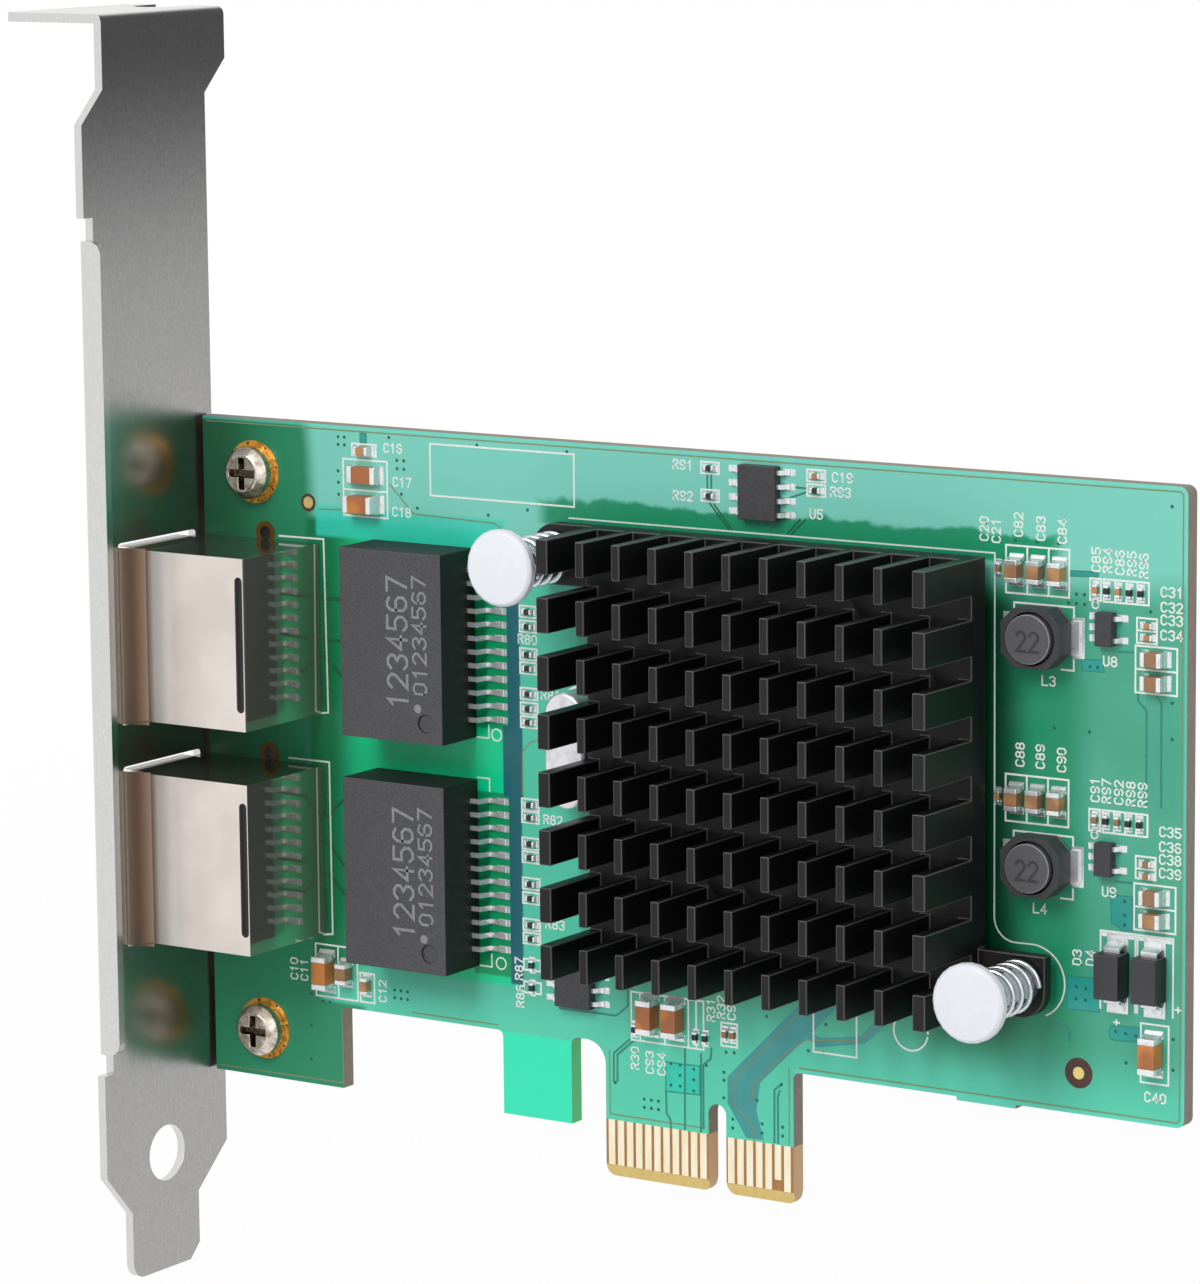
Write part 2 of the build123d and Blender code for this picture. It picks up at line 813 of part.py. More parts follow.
# Eight-lead memory chips
boot_x = sink_centre_x - 3.4
boot_z = sink_high + 3.95
memory_spots = {
    "boot_memory": (boot_x, boot_z),
    "setup_memory": (sink_left - 3.7, sink_low - 2.7),
}
for word, (x, z) in memory_spots.items():
    with BuildPart() as body:
        with BuildSketch(above(small_chip_lift)):
            with Locations((x, z)):
                Rectangle(small_chip_width, small_chip_length)
        extrude(amount=small_chip_height - small_chip_lift)
    save(body.part, word)
    rows = [
        leads_along_x(
            x + side * small_chip_width / 2,
            side,
            even_spots(z, 4, small_chip_pitch),
            small_lead_width,
            small_lead_height,
            (small_chip_reach - small_chip_width) / 2,
            small_shoulder,
        )
        for side in (1, -1)
    ]
    with BuildPart() as leads:
        add(rows)
    save(leads.part, word + "_leads")

# Regulators with three leads on the left and two on the right
regulator_x = sink_right + 11.48
upper_power = sink_high - converter_drop
lower_power = upper_power - converter_pitch
for word, z in (("upper", upper_power), ("lower", lower_power)):
    with BuildPart() as body:
        with BuildSketch(above(small_chip_lift)):
            with Locations((regulator_x, z)):
                Rectangle(regulator_width, regulator_length)
        extrude(amount=regulator_height - small_chip_lift)
    save(body.part, word + "_regulator")
    lead_reach = (regulator_reach - regulator_width) / 2
    rows = [
        leads_along_x(
            regulator_x + side * regulator_width / 2,
            side,
            spots,
            small_lead_width,
            regulator_lead_height,
            lead_reach,
            regulator_shoulder,
            regulator_lead_thick,
        )
        for side, spots in (
            (-1, even_spots(z, 3, regulator_pitch)),
            (1, even_spots(z, 2, 2 * regulator_pitch)),
        )
    ]
    with BuildPart() as leads:
        add(rows)
    save(leads.part, word + "_regulator_leads")

# Inductors: shield ring with cut corners, wound drum inside, flat terminals
coil_x = sink_right + 5.15
coil_drop = 1.1
coil_spots = [(coil_x, upper_power - coil_drop), (coil_x, lower_power - coil_drop)]
with BuildPart() as inductor_shields:
    with BuildSketch(above(coil_base)) as ring_outline:
        with Locations(*coil_spots):
            Rectangle(coil_width, coil_length)
        chamfer(ring_outline.vertices(), length=coil_chamfer)
        with Locations(*coil_spots):
            large_round(coil_ring_bore, mode=Mode.SUBTRACT)
    extrude(amount=coil_ring_height)
save(inductor_shields.part, "inductor_shields")

with BuildPart() as inductor_drums:
    with BuildSketch(above(0)) as foot_outline:
        with Locations(*coil_spots):
            Rectangle(coil_width, coil_length)
        chamfer(foot_outline.vertices(), length=coil_chamfer)
    extrude(amount=coil_base)
    with BuildSketch(above(coil_base)):
        with Locations(*coil_spots):
            small_round(coil_post_d)
    extrude(amount=coil_height - coil_base)
    with BuildSketch(above(coil_height)):
        with Locations(*coil_spots):
            large_round(coil_drum_d)
    extrude(amount=-coil_flange)
save(inductor_drums.part, "inductor_drums")

winding_length = coil_height - coil_flange - coil_base
with BuildPart() as inductor_windings:
    with BuildSketch(above(coil_base)):
        with Locations(*coil_spots):
            small_round(coil_winding_d)
            small_round(coil_post_d, mode=Mode.SUBTRACT)
    extrude(amount=winding_length)
save(inductor_windings.part, "inductor_windings")

terminal_x = [side * (coil_width + coil_terminal_reach) / 2 for side in (1, -1)]
with BuildPart() as inductor_terminals:
    with BuildSketch(above(0)):
        with Locations(*[(x + along, z) for x, z in coil_spots for along in terminal_x]):
            Rectangle(coil_terminal_reach, coil_terminal_width)
    extrude(amount=coil_base)
save(inductor_terminals.part, "inductor_terminals")

# Diodes: two moulded bodies with a wrapped lead at each end
diode_z = lower_power - 10.0
diode_spots = [(sink_right + 12.5, diode_z), (sink_right + 16.1, diode_z)]
with BuildPart() as diodes:
    with BuildSketch(above(diode_lift)):
        with Locations(*diode_spots):
            Rectangle(diode_width, diode_length)
    extrude(amount=diode_height - diode_lift)
save(diodes.part, "diodes")

lead_planes = [Plane.YZ.offset(x - diode_lead_width / 2) for x, z in diode_spots]
with BuildPart() as diode_leads:
    for side in (1, -1):
        with BuildSketch(*lead_planes):
            edge = diode_z + side * diode_length / 2
            outline = bent_lead(edge, side, diode_lead_height, diode_lead_reach, diode_shoulder, lead_thick)
            Polygon(*[(y, along) for along, y in outline], align=None)
        extrude(amount=diode_lead_width)
save(diode_leads.part, "diode_leads")

# Crystal in an oval can, close to the left edge of the heat sink
crystal_x = sink_left - crystal_rim - crystal_gap - crystal_width / 2
crystal_spot = (crystal_x, sink_centre_z - 0.65)
with BuildPart() as crystal_base_plate:
    with BuildSketch(above(0)):
        with Locations(crystal_spot):
            SlotOverall(crystal_length + 2 * crystal_rim, crystal_width + 2 * crystal_rim, rotation=90)
    extrude(amount=crystal_base)
save(crystal_base_plate.part, "crystal_base")

with BuildPart() as crystal_can:
    with BuildSketch(above(crystal_base)):
        with Locations(crystal_spot):
            SlotOverall(crystal_length, crystal_width, rotation=90)
    extrude(amount=crystal_height - crystal_base)
    can_top = crystal_can.faces().sort_by(Axis.Y)[0].edges()
    chamfer(can_top, length=crystal_round)
save(crystal_can.part, "crystal_can")


def chip_parts(case, spots, upright, caps):
    """Two-ended chip parts lying along X, or along Z when upright: the middles or the end caps."""
    length, width, height, cap = case
    size = (cap, width) if caps else (length - 2 * cap, width)
    turn = 90 if upright else 0
    shifts = (1, -1) if caps else (0,)
    places = []
    for x, z in spots:
        for side in shifts:
            step = side * (length - cap) / 2
            places.append((x, z + step) if upright else (x + step, z))
    with BuildPart() as pieces:
        with BuildSketch(above(0)):
            with Locations(*places):
                Rectangle(*size, rotation=turn)
        extrude(amount=height)
    return pieces.part


# Where the chip parts sit, each group set out from the part it serves
bank_x = [sink_right + 2.5, sink_right + 4.6, sink_right + 6.7]
row_x = [sink_right + 10.25 + row_pitch * i for i in range(row_count)]
edge_x = sink_right + 16.1
stack_x = sink_right + 15.3
column_x = magnetics_x + magnetics_width / 2 + 5.9
low_left_z = lower_jack_z - 11.6
low_middle_z = sink_low - 5.0
bank_rise = 4.4
row_rise = 3.23
upper_column = [upper_jack_z + up for up in (3.47, 2.1, -0.48, -1.78, -4.15, -5.52, -6.8)]
lower_column = [lower_jack_z + up for up in (6.69, 5.5, 3.03, 1.75, -0.74, -2.1, -4.6, -5.9)]
large_upright = [
    (board_left + 13.6, low_left_z - 0.1),
    (sink_left + 4.4, low_middle_z),
    (sink_left + 7.15, low_middle_z),
    (edge_x, diode_z - 6.7),
]
large_level = [(magnetics_x - 6.55, upper_jack_z + 12.25)]
flat_level = [(magnetics_x - 6.55, upper_jack_z + 14.95)]
medium_upright = [(x, z + bank_rise) for x in bank_x for z in (upper_power, lower_power)]
medium_upright += [(board_left + 15.9, low_left_z)]
medium_level = [(edge_x, upper_power - down) for down in (2.25, 4.3)]
medium_level += [(edge_x, lower_power - down) for down in (2.9, 4.9)]
small_upright = [(board_left + 18.25, low_left_z - 0.95)]
small_level = [(magnetics_x - 6.65, upper_jack_z + 17.2)]
tiny_upright = [(sink_right + 0.72, z + bank_rise) for z in (upper_power, lower_power)]
tiny_upright += [(row_x[i], z + row_rise) for i in (0, 2) for z in (upper_power, lower_power)]
tiny_upright += [(sink_left + 12.4, low_middle_z - 0.8), (sink_left + 13.2, low_middle_z - 0.8)]
tiny_level = [(stack_x, upper_power + up) for up in (0.53, -0.5)]
tiny_level += [(stack_x, lower_power + up) for up in (-0.12, -1.18)]
tiny_level += [(boot_x + 5.65, boot_z + 1.8)]
resistors_upright = [(row_x[i], z + row_rise) for i in (1, 3, 4) for z in (upper_power, lower_power)]
resistors_upright += [(sink_left + 2.6, low_middle_z - 1.55)]
resistors_upright += [(sink_left + along, low_middle_z - 1.45) for along in (9.2, 10.25)]
resistors_upright += [(column_x, lower_jack_z - down) for down in (8.4, 10.55)]
resistors_level = [(column_x, z) for z in upper_column + lower_column]
resistors_level += [(boot_x - 5.45, boot_z + up) for up in (1.8, -0.7)] + [(boot_x + 5.65, boot_z + 0.5)]
for word, caps in (("", False), ("_ends", True)):
    sets = {
        "large_capacitor": [(case_1206, large_upright, True), (case_1206, large_level, False)],
        "flat_capacitor": [(flat_1206, flat_level, False)],
        "medium_capacitor": [(case_0805, medium_upright, True), (case_0805, medium_level, False)],
        "small_capacitor": [(case_0603, small_upright, True), (case_0603, small_level, False)],
        "tiny_capacitor": [(case_0402, tiny_upright, True), (case_0402, tiny_level, False)],
        "resistor": [(case_0402, resistors_upright, True), (case_0402, resistors_level, False)],
    }
    for name, rows in sets.items():
        made = [chip_parts(case, spots, upright, caps) for case, spots, upright in rows]
        with BuildPart() as group:
            add(made)
        save(group.part, name + (word or "_bodies"))

# Two round gold sighting marks for the placing machine
with BuildPart() as sighting_marks:
    with BuildSketch(above(0)):
        with Locations((screw_x + 6.39, upper_screw_z - 2.5), (sink_right + 8.75, board_bottom + 3.65)):
            small_round(mark_d)
    extrude(amount=contact_thick)
save(sighting_marks.part, "sighting_marks")
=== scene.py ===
# %% [markdown]
# # A network card, dressed for the camera
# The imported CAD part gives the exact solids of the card: board, bracket, jacks, heat sink and all
# the small parts. This lesson puts on what a CAD model lacks: solder mask and printed ink, traces
# and vias, solder, rounded edges that catch the light, and the finish of every material.
# Everything is in metres in the card's own frame: +X to the free end, +Z up, and the side with
# the parts faces -Y.

# %% Load the frame
import math
from collections import namedtuple

import bmesh
import bpy
from mathutils import Matrix, Vector


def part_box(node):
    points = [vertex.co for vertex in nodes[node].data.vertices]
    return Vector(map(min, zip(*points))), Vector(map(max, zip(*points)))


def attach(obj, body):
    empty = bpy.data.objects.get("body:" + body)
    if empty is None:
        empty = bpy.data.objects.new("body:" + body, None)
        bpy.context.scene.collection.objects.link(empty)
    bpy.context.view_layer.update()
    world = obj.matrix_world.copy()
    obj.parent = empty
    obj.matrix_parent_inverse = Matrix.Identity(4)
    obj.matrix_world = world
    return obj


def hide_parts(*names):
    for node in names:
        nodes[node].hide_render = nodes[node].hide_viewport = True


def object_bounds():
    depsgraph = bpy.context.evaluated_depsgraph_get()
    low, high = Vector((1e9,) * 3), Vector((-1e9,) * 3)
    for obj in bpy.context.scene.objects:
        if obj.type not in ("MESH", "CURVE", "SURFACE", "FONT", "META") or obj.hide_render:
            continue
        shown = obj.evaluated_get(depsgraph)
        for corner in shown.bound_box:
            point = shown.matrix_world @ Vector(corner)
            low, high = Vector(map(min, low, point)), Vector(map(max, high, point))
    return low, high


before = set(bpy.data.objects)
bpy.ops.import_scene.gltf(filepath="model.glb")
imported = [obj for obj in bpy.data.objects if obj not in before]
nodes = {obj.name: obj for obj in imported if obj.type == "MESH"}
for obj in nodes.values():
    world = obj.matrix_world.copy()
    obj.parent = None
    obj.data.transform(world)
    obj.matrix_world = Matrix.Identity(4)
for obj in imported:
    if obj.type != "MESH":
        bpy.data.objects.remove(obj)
cad_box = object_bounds()
MM = 0.001
print("nodes in the frame:", len(nodes))

# %% [markdown]
# ## Where the board lies
# All the printed and soldered detail lies on the board's front face, so a point there is given by
# two numbers, X and Z in millimetres, and a height above the face. The face, and the edges that
# other places are set out from, are read from the solids, so a changed size carries through.

# %% Board measures
def box_of(node):
    """The lowest and the highest corner of a node, in millimetres."""
    return [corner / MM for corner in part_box(node)]


board_low, board_high = box_of("pcb")
sink_low, sink_high = box_of("heat_sink")
fin_vertices = [v.co / MM for v in nodes["heat_sink"].data.vertices]
fins_end = max(co.x for co in fin_vertices if co.y < sink_low.y + 1)
face_y = board_low.y


def on_face(x, z, height=0.0):
    """A point over the board's front face, in metres."""
    return Vector((x, face_y - height, z)) * MM


print("board face at", round(face_y, 2), "mm, free end at", round(board_high.x, 2), "mm")
print("fins end at", round(fins_end, 2), "mm")

# %% [markdown]
# ## A small language for finishes
# A finish is a graph of shader nodes. Written node by node it is hard to read, so one class stands
# for a socket and lets us write `1 - mask` or `noise * 0.3 + 0.5`. Each operator adds one Math
# node. Colours are mixed by Mix nodes, because a Math node would turn them grey.

# %% The socket class
class Socket:
    """One output of a node, with arithmetic on its value."""

    def __init__(self, graph, socket):
        self.graph = graph
        self.socket = socket

    def maths(self, operation, first, second):
        """A Math node: every operator below is one of these."""
        return self.graph.node("ShaderNodeMath", {"operation": operation}, {0: first, 1: second})

    def __add__(self, other):
        return self.maths("ADD", self, other)

    __radd__ = __add__

    def __mul__(self, other):
        return self.maths("MULTIPLY", self, other)

    __rmul__ = __mul__

    def __sub__(self, other):
        return self.maths("SUBTRACT", self, other)

    def __rsub__(self, other):
        return self.maths("SUBTRACT", other, self)

    def __abs__(self):
        return self.maths("ABSOLUTE", self, 0.0)

    def rises(self, low, high):
        """0 below low, 1 above high and a smooth step between. It falls where low is over high."""
        if low > high:
            return 1 - self.rises(high, low)
        settings = {"interpolation_type": "SMOOTHSTEP"}
        return self.graph.node("ShaderNodeMapRange", settings, {0: self, 1: low, 2: high})

    def within(self, low, high, soft):
        """1 between low and high, with soft edges outside them."""
        return self.rises(low - soft, low) * self.rises(high + soft, high)


print("sockets can be added, multiplied and compared")

# %% [markdown]
# ## Colours and graphs
# A screen's colours are brighter than the numbers a shader reckons with, so each is turned to
# linear values once. Every node but Math comes from one method, which takes its type, its
# settings and the values or links of its sockets; settings come first, for they can change which
# sockets a node has.

# %% Colours and graphs
def ink(*parts):
    """A colour as a screen shows it, 0 to 255, turned to the linear values that shaders use."""
    dark_end = 10
    return tuple(
        part / 255 / 12.92 if part <= dark_end else ((part / 255 + 0.055) / 1.055) ** 2.4
        for part in parts
    )


class Graph:
    """A tree of shader nodes, built by short calls."""

    def __init__(self, tree):
        self.tree = tree

    def feed(self, socket, value):
        """Links another node's output to a socket, or sets the socket's own value."""
        if isinstance(value, Socket):
            self.tree.links.new(value.socket, socket)
        elif isinstance(value, tuple) and len(value) == 3 and socket.type == "RGBA":
            socket.default_value = (*value, 1.0)
        else:
            socket.default_value = value

    def node(self, kind, settings=None, values=None, out=0):
        """Adds a node: its settings first, then the values or links of its sockets."""
        made = self.tree.nodes.new(kind)
        for word, value in (settings or {}).items():
            setattr(made, word, value)
        for word, value in (values or {}).items():
            self.feed(made.inputs[word], value)
        return Socket(self, made.outputs[out])


print("mid grey is", [round(part, 3) for part in ink(128, 128, 128)], "in a shader")

# %% [markdown]
# ## A finish
# A finish is a graph that belongs to a material. It knows where a point is and which way it
# faces, and it has noise, mixing and bump, which are all that the surfaces below are made of. The
# place comes from the object's own coordinates, so a grain stays on its part when the part turns.

# %% The finish class
class Finish(Graph):
    """A material whose shader is set up by short calls."""

    def __init__(self, name, colour, roughness, metallic=0.0, **more):
        self.material = bpy.data.materials.new(name)
        self.material.use_nodes = True
        super().__init__(self.material.node_tree)
        self.shader = self.tree.nodes["Principled BSDF"]
        self.give({"Base Color": colour, "Roughness": roughness, "Metallic": metallic})
        self.give({word.replace("_", " "): value for word, value in more.items()})
        self.axes = {}

    def give(self, sockets):
        """Feeds sockets of the shader, by their names."""
        for word, value in sockets.items():
            self.feed(self.shader.inputs[word], value)

    def place(self):
        """Where the point is, in metres."""
        return self.node("ShaderNodeTexCoord", out="Object")

    def axis(self, letter):
        """One coordinate of the point, in millimetres."""
        if letter not in self.axes:
            split = self.node("ShaderNodeSeparateXYZ", values={0: self.place()}, out=letter)
            self.axes[letter] = split * (1 / MM)
        return self.axes[letter]

    def facing(self, letter):
        """One part of the direction that the surface faces, from -1 to 1."""
        normal = self.node("ShaderNodeNewGeometry", out="True Normal")
        return self.node("ShaderNodeSeparateXYZ", values={0: normal}, out=letter)

    def noise(self, size, detail=3.0, stretch=(1.0, 1.0, 1.0)):
        """Soft noise from 0 to 1 whose grains are about size millimetres, drawn out by stretch."""
        scale = tuple(1 / (size * MM * along) for along in stretch)
        place = self.node("ShaderNodeMapping", values={"Vector": self.place(), "Scale": scale})
        values = {"Vector": place, "Scale": 1.0, "Detail": detail}
        return self.node("ShaderNodeTexNoise", values=values)

    def mix(self, share, first, second, blend="MIX"):
        """One colour passing into another as share goes from 0 to 1."""
        settings = {"data_type": "RGBA", "blend_type": blend, "clamp_factor": True}
        return self.node("ShaderNodeMix", settings, {0: share, 6: first, 7: second}, out=2)

    def bump(self, height, depth):
        """Makes the surface uneven by depth millimetres."""
        values = {"Height": height, "Distance": depth * MM}
        self.give({"Normal": self.node("ShaderNodeBump", values=values, out="Normal")})


print("finish tools are ready")

# %% [markdown]
# ## The solder mask
# The board is glass cloth and resin under a thin coat of green lacquer, the solder mask. Over a
# copper plane the green is paler; where there is no copper it is deeper and clearer. It could be
# painted on an image, but a rule for each field keeps its edges crisp at any distance, and one
# material does all of it from the place and the facing of each point. Each field is a function
# that lays its colour over the green so far.

# %% Fields of green
def zone(finish, left, right, low, high, soft):
    """A soft-edged rectangle on the board: 1 inside, 0 outside."""
    return finish.axis("X").within(left, right, soft) * finish.axis("Z").within(low, high, soft)


def open_field(mask, clouds):
    """Lacquer over a copper plane; painted light makes it paler towards the lower edge, and a painted
    reflection makes it paler towards the upper edge.
    """
    up = mask.axis("Z")
    green = mask.mix(clouds.rises(0.3, 0.7), ink(70, 166, 134), ink(84, 178, 150))
    # Painted light: paler towards the lower edge.
    green = mask.mix(up.rises(20, 12), green, ink(92, 212, 180))
    # Painted reflection: paler towards the upper edge.
    return mask.mix((up + clouds * 4).rises(59, 62.5), green, ink(124, 210, 192))


def round_the_sink(mask, clouds, green):
    """Painted shade darkens the board to the right of the heat sink, painted light brightens it to its
    left, and a dark shelf lies over it.
    """
    across, up = mask.axis("X"), mask.axis("Z")
    # Painted shade: the board darkens towards the heat sink's right side.
    sink_shade_zone = across.rises(20, 24) * (up + clouds * 4).rises(61.5, 58) * up.rises(14, 22)
    near = across.rises(fins_end + 11, fins_end + 7)
    nearest_sink_shade = across.rises(fins_end + 4.5, fins_end + 0.5)
    green = mask.mix(sink_shade_zone * near, green, ink(34, 148, 108))
    green = mask.mix(sink_shade_zone * nearest_sink_shade, green, ink(4, 70, 44))
    # Painted light: the board is brightened to the left of the heat sink.
    left = across.within(-21.2, sink_low.x + 3, 0.6) * up.within(19, 58, 1)
    green = mask.mix(left * 0.7, green, ink(84, 216, 184))
    ripple = mask.noise(3.5, detail=3)
    shelf = (up + ripple * 3).rises(64.6, 64.0) * up.rises(60, 60.5)
    shelf = shelf * across.within(sink_low.x + 0.5, sink_high.x - 1, 2)
    return mask.mix(shelf, green, ink(24, 150, 106))


def behind_the_jacks(mask, clouds, green):
    """The deeper column at the bracket's end, where the copper plane stops; painted shade darkens it
    towards the bracket, and it is lighter towards the bottom.
    """
    across, up = mask.axis("X"), mask.axis("Z")
    column = (across + clouds * 4).rises(-41.8, -43.8)
    column = column + up.rises(13, 12.4) * across.rises(-39, -40)
    # Painted shade: darker towards the bracket; lighter towards the bottom.
    shaded = mask.mix(across.rises(-56, -46), ink(28, 98, 64), ink(40, 138, 98))
    shaded = mask.mix(up.rises(24, 12), shaded, ink(46, 146, 106))
    return mask.mix(column, green, shaded)


print("fields of green: plane, heat sink, jacks")

# %% [markdown]
# ## The clear field, the rim and the back
# Between the jacks and the heat sink the copper stops, for the sake of the signals, and the
# lacquer is a clear emerald, darkened towards the jacks by their painted shadow, with a strip of
# blue copper past the transformers' pins. The free edges have a paler rim, a painted highlight, and
# the back, which no photograph shows, is a plainer green.

# %% Clear field, rim and back
def under_transformers(mask, clouds, green):
    """Clear lacquer with no copper under it, darkened towards the jacks by their painted shadow, and
    what borders it.
    """
    clear = mask.mix(clouds.rises(0.25, 0.75), ink(0, 184, 116), ink(4, 218, 156))
    # Painted shadow of the jacks: the clear field darkens towards them.
    clear = mask.mix(mask.axis("X").rises(-38.5, -43), clear, ink(4, 120, 72))
    green = mask.mix(zone(mask, -45, -22.6, 17, 58.6, 0.8), green, clear)
    green = mask.mix(zone(mask, -44, -23, 57.6, 60, 0.5) * 0.8, green, ink(52, 214, 190))
    pins = zone(mask, -26.6, -22.7, 17.6, 34.6, 0.3) + zone(mask, -26.6, -22.7, 40.9, 56, 0.3)
    green = mask.mix(pins * 0.8, green, ink(2, 128, 76))
    blue = mask.mix(clouds, ink(16, 88, 98), ink(32, 110, 120))
    strip = zone(mask, -22.5, -21.3, 17, 55, 0.25) + zone(mask, -23.1, -21.1, 34.6, 41, 0.2)
    return mask.mix(strip, green, blue)


def edge_glint_and_back(mask, clouds, green):
    """A paler rim along the free edges, which is a painted highlight, and the plain back."""
    across, up = mask.axis("X"), mask.axis("Z")
    # Painted highlight: a paler rim along the free edges.
    rim = up.rises(12.75, 12.45) * across.rises(8.0, 8.6)
    rim = rim + across.rises(47.2, 47.5) + up.rises(67.5, 67.8)
    green = mask.mix(rim * 0.55, green, ink(104, 226, 204))
    plain = mask.mix(clouds.rises(0.3, 0.7), ink(44, 148, 112), ink(62, 168, 132))
    plain = mask.mix(across.rises(-39, -43), plain, ink(28, 118, 84))
    return mask.mix(mask.facing("Y").rises(0.5, 0.9), green, plain)


print("clear field, rim and back")

# %% [markdown]
# ## Bare laminate
# The lacquer leaves out the strip between the gold contacts, where the yellow resin shows, and
# the routed edges, where glass cloth and resin lie in fine brown layers. On the hook tab there is
# no copper inside either, so it is paler, and it is painted brighter still, a painted glow for the
# light that comes through it.

# %% Bare laminate and the whole board
hook_tab = (-24.5, -15.5, 0, 12.1, 0.25)
contact_strip = (-14, 10, -1, 5.35, 0.06)


def bare_places(mask, cloth, green):
    """The hook tab, and the bare resin between the contacts."""
    # The hook tab is paler for want of copper, and brighter still as a painted glow of light coming
    # through.
    green = mask.mix(zone(mask, *hook_tab), green, ink(58, 238, 192))
    gap = mask.mix(cloth, ink(152, 106, 58), ink(190, 142, 84))
    resin = mask.mix(cloth, ink(222, 188, 104), ink(240, 214, 140))
    resin = mask.mix(mask.axis("Z").rises(1.05, 1.2), resin, gap)
    return mask.mix(zone(mask, *contact_strip), green, resin)


def cut_edge(mask):
    """The layers that show where the board was cut."""
    layers = mask.noise(0.5, detail=4, stretch=(2, 0.3, 2))
    edge = mask.mix(layers, ink(120, 112, 102), ink(176, 166, 152))
    edge = mask.mix(zone(mask, *contact_strip), edge, ink(228, 192, 148))
    # The hook tab's cut edge carries the same painted glow.
    edge = mask.mix(zone(mask, *hook_tab), edge, ink(110, 226, 152))
    eyelet_walls = zone(mask, -54, -40, 14, 58.6, 0.3)
    return mask.mix(eyelet_walls, edge, ink(40, 30, 16))


def solder_mask():
    mask = Finish("solder mask", ink(60, 165, 130), 0.34, Specular_IOR_Level=0.34)
    clouds = mask.noise(14, detail=2)
    cloth = mask.noise(0.5, detail=2, stretch=(1, 1, 2.5))
    green = open_field(mask, clouds)
    for paint in (round_the_sink, behind_the_jacks, under_transformers, edge_glint_and_back):
        green = paint(mask, clouds, green)
    green = bare_places(mask, cloth, green)
    cut = abs(mask.facing("Y")).rises(0.9, 0.7)
    mask.give({"Base Color": mask.mix(cut, green, cut_edge(mask))})
    mask.give({"Roughness": 0.26 + cloth * 0.12 + cut * 0.35})
    mask.bump(cloth + clouds * 0.5, 0.01)
    return mask.material


SOLDER_MASK = solder_mask()
print("made", SOLDER_MASK.name)

# %% [markdown]
# ## Metals
# The card has many metals: gold contacts, the nickel-plated steel bracket, the brighter shells of
# the jacks, tinned leads and solder. Each is a metallic shader whose colour is the metal's own
# and whose roughness varies as rolling, stamping and handling leave it. A noise that is drawn out
# along one axis gives a grain: along the contacts it is the wiping of the slot, on the bracket
# the brushing along its length.

# %% Gold
def gold():
    metal = Finish("gold plate", ink(255, 244, 214), 0.3, 0.75)
    wipe = metal.noise(0.3, detail=2, stretch=(1, 1, 12))
    worn = metal.mix(wipe.rises(0.35, 0.75), ink(255, 248, 226), ink(248, 232, 192))
    metal.give({"Base Color": worn, "Roughness": 0.24 + wipe * 0.16})
    metal.bump(wipe, 0.002)
    return metal.material


def ring_gold():
    metal = Finish("ring gold", ink(232, 170, 64), 0.3, 0.6)
    spots = metal.noise(0.5, detail=4)
    tone = metal.mix(spots.rises(0.4, 0.7), ink(240, 178, 70), ink(176, 112, 36))
    eyelets = metal.axis("Z").within(14, 58.6, 0.2)
    metal.give({"Base Color": metal.mix(eyelets, tone, ink(116, 78, 30))})
    metal.give({"Roughness": 0.22 + spots * 0.3})
    metal.bump(spots, 0.01)
    return metal.material


GOLD = gold()
RING_GOLD = ring_gold()
print("made", GOLD.name, "and", RING_GOLD.name)

# %% [markdown]
# ## Nickel
# Nickel on steel is greyer on the bracket, which is brushed; its inner face darkens higher up and
# its other faces are lighter, a painted reflection of a dim room. It is brighter on the jacks' drawn
# shells, which carry painted reflections too: a warm painted shade on the front walls near the
# bracket, a bright band past it, a darker roof and rear, and other walls a little lighter than the
# front. The screws have a darker cross recess, a painted shade found by its place and its depth
# under the head.

# %% Nickel
def bracket_steel():
    metal = Finish("nickel-plated steel", ink(150, 150, 150), 0.32, 1.0)
    rolled = metal.noise(0.26, detail=4, stretch=(1, 1, 2.2))
    blotch = metal.noise(7, detail=3)
    fine = metal.noise(0.12, detail=2)
    height = metal.axis("Z")
    inward = metal.facing("X").rises(0.3, 0.8)
    # Painted reflection: the inner face darkens higher up, and the other faces are lighter.
    tone = metal.mix(height.rises(60, 84), ink(166, 165, 163), ink(150, 150, 149))
    tone = metal.mix(height.rises(78, 104), tone, ink(70, 70, 71))
    tone = metal.mix(inward, ink(214, 214, 212), tone)
    grain = metal.mix(rolled * 0.5 + fine * 0.5, ink(60, 60, 62), ink(255, 255, 255))
    toned = metal.mix(0.55, tone, grain, blend="SOFT_LIGHT")
    metal.give({"Base Color": toned, "Roughness": 0.17 + blotch * 0.08 + fine * 0.06})
    metal.bump(rolled + fine * 0.6, 0.003)
    return metal.material


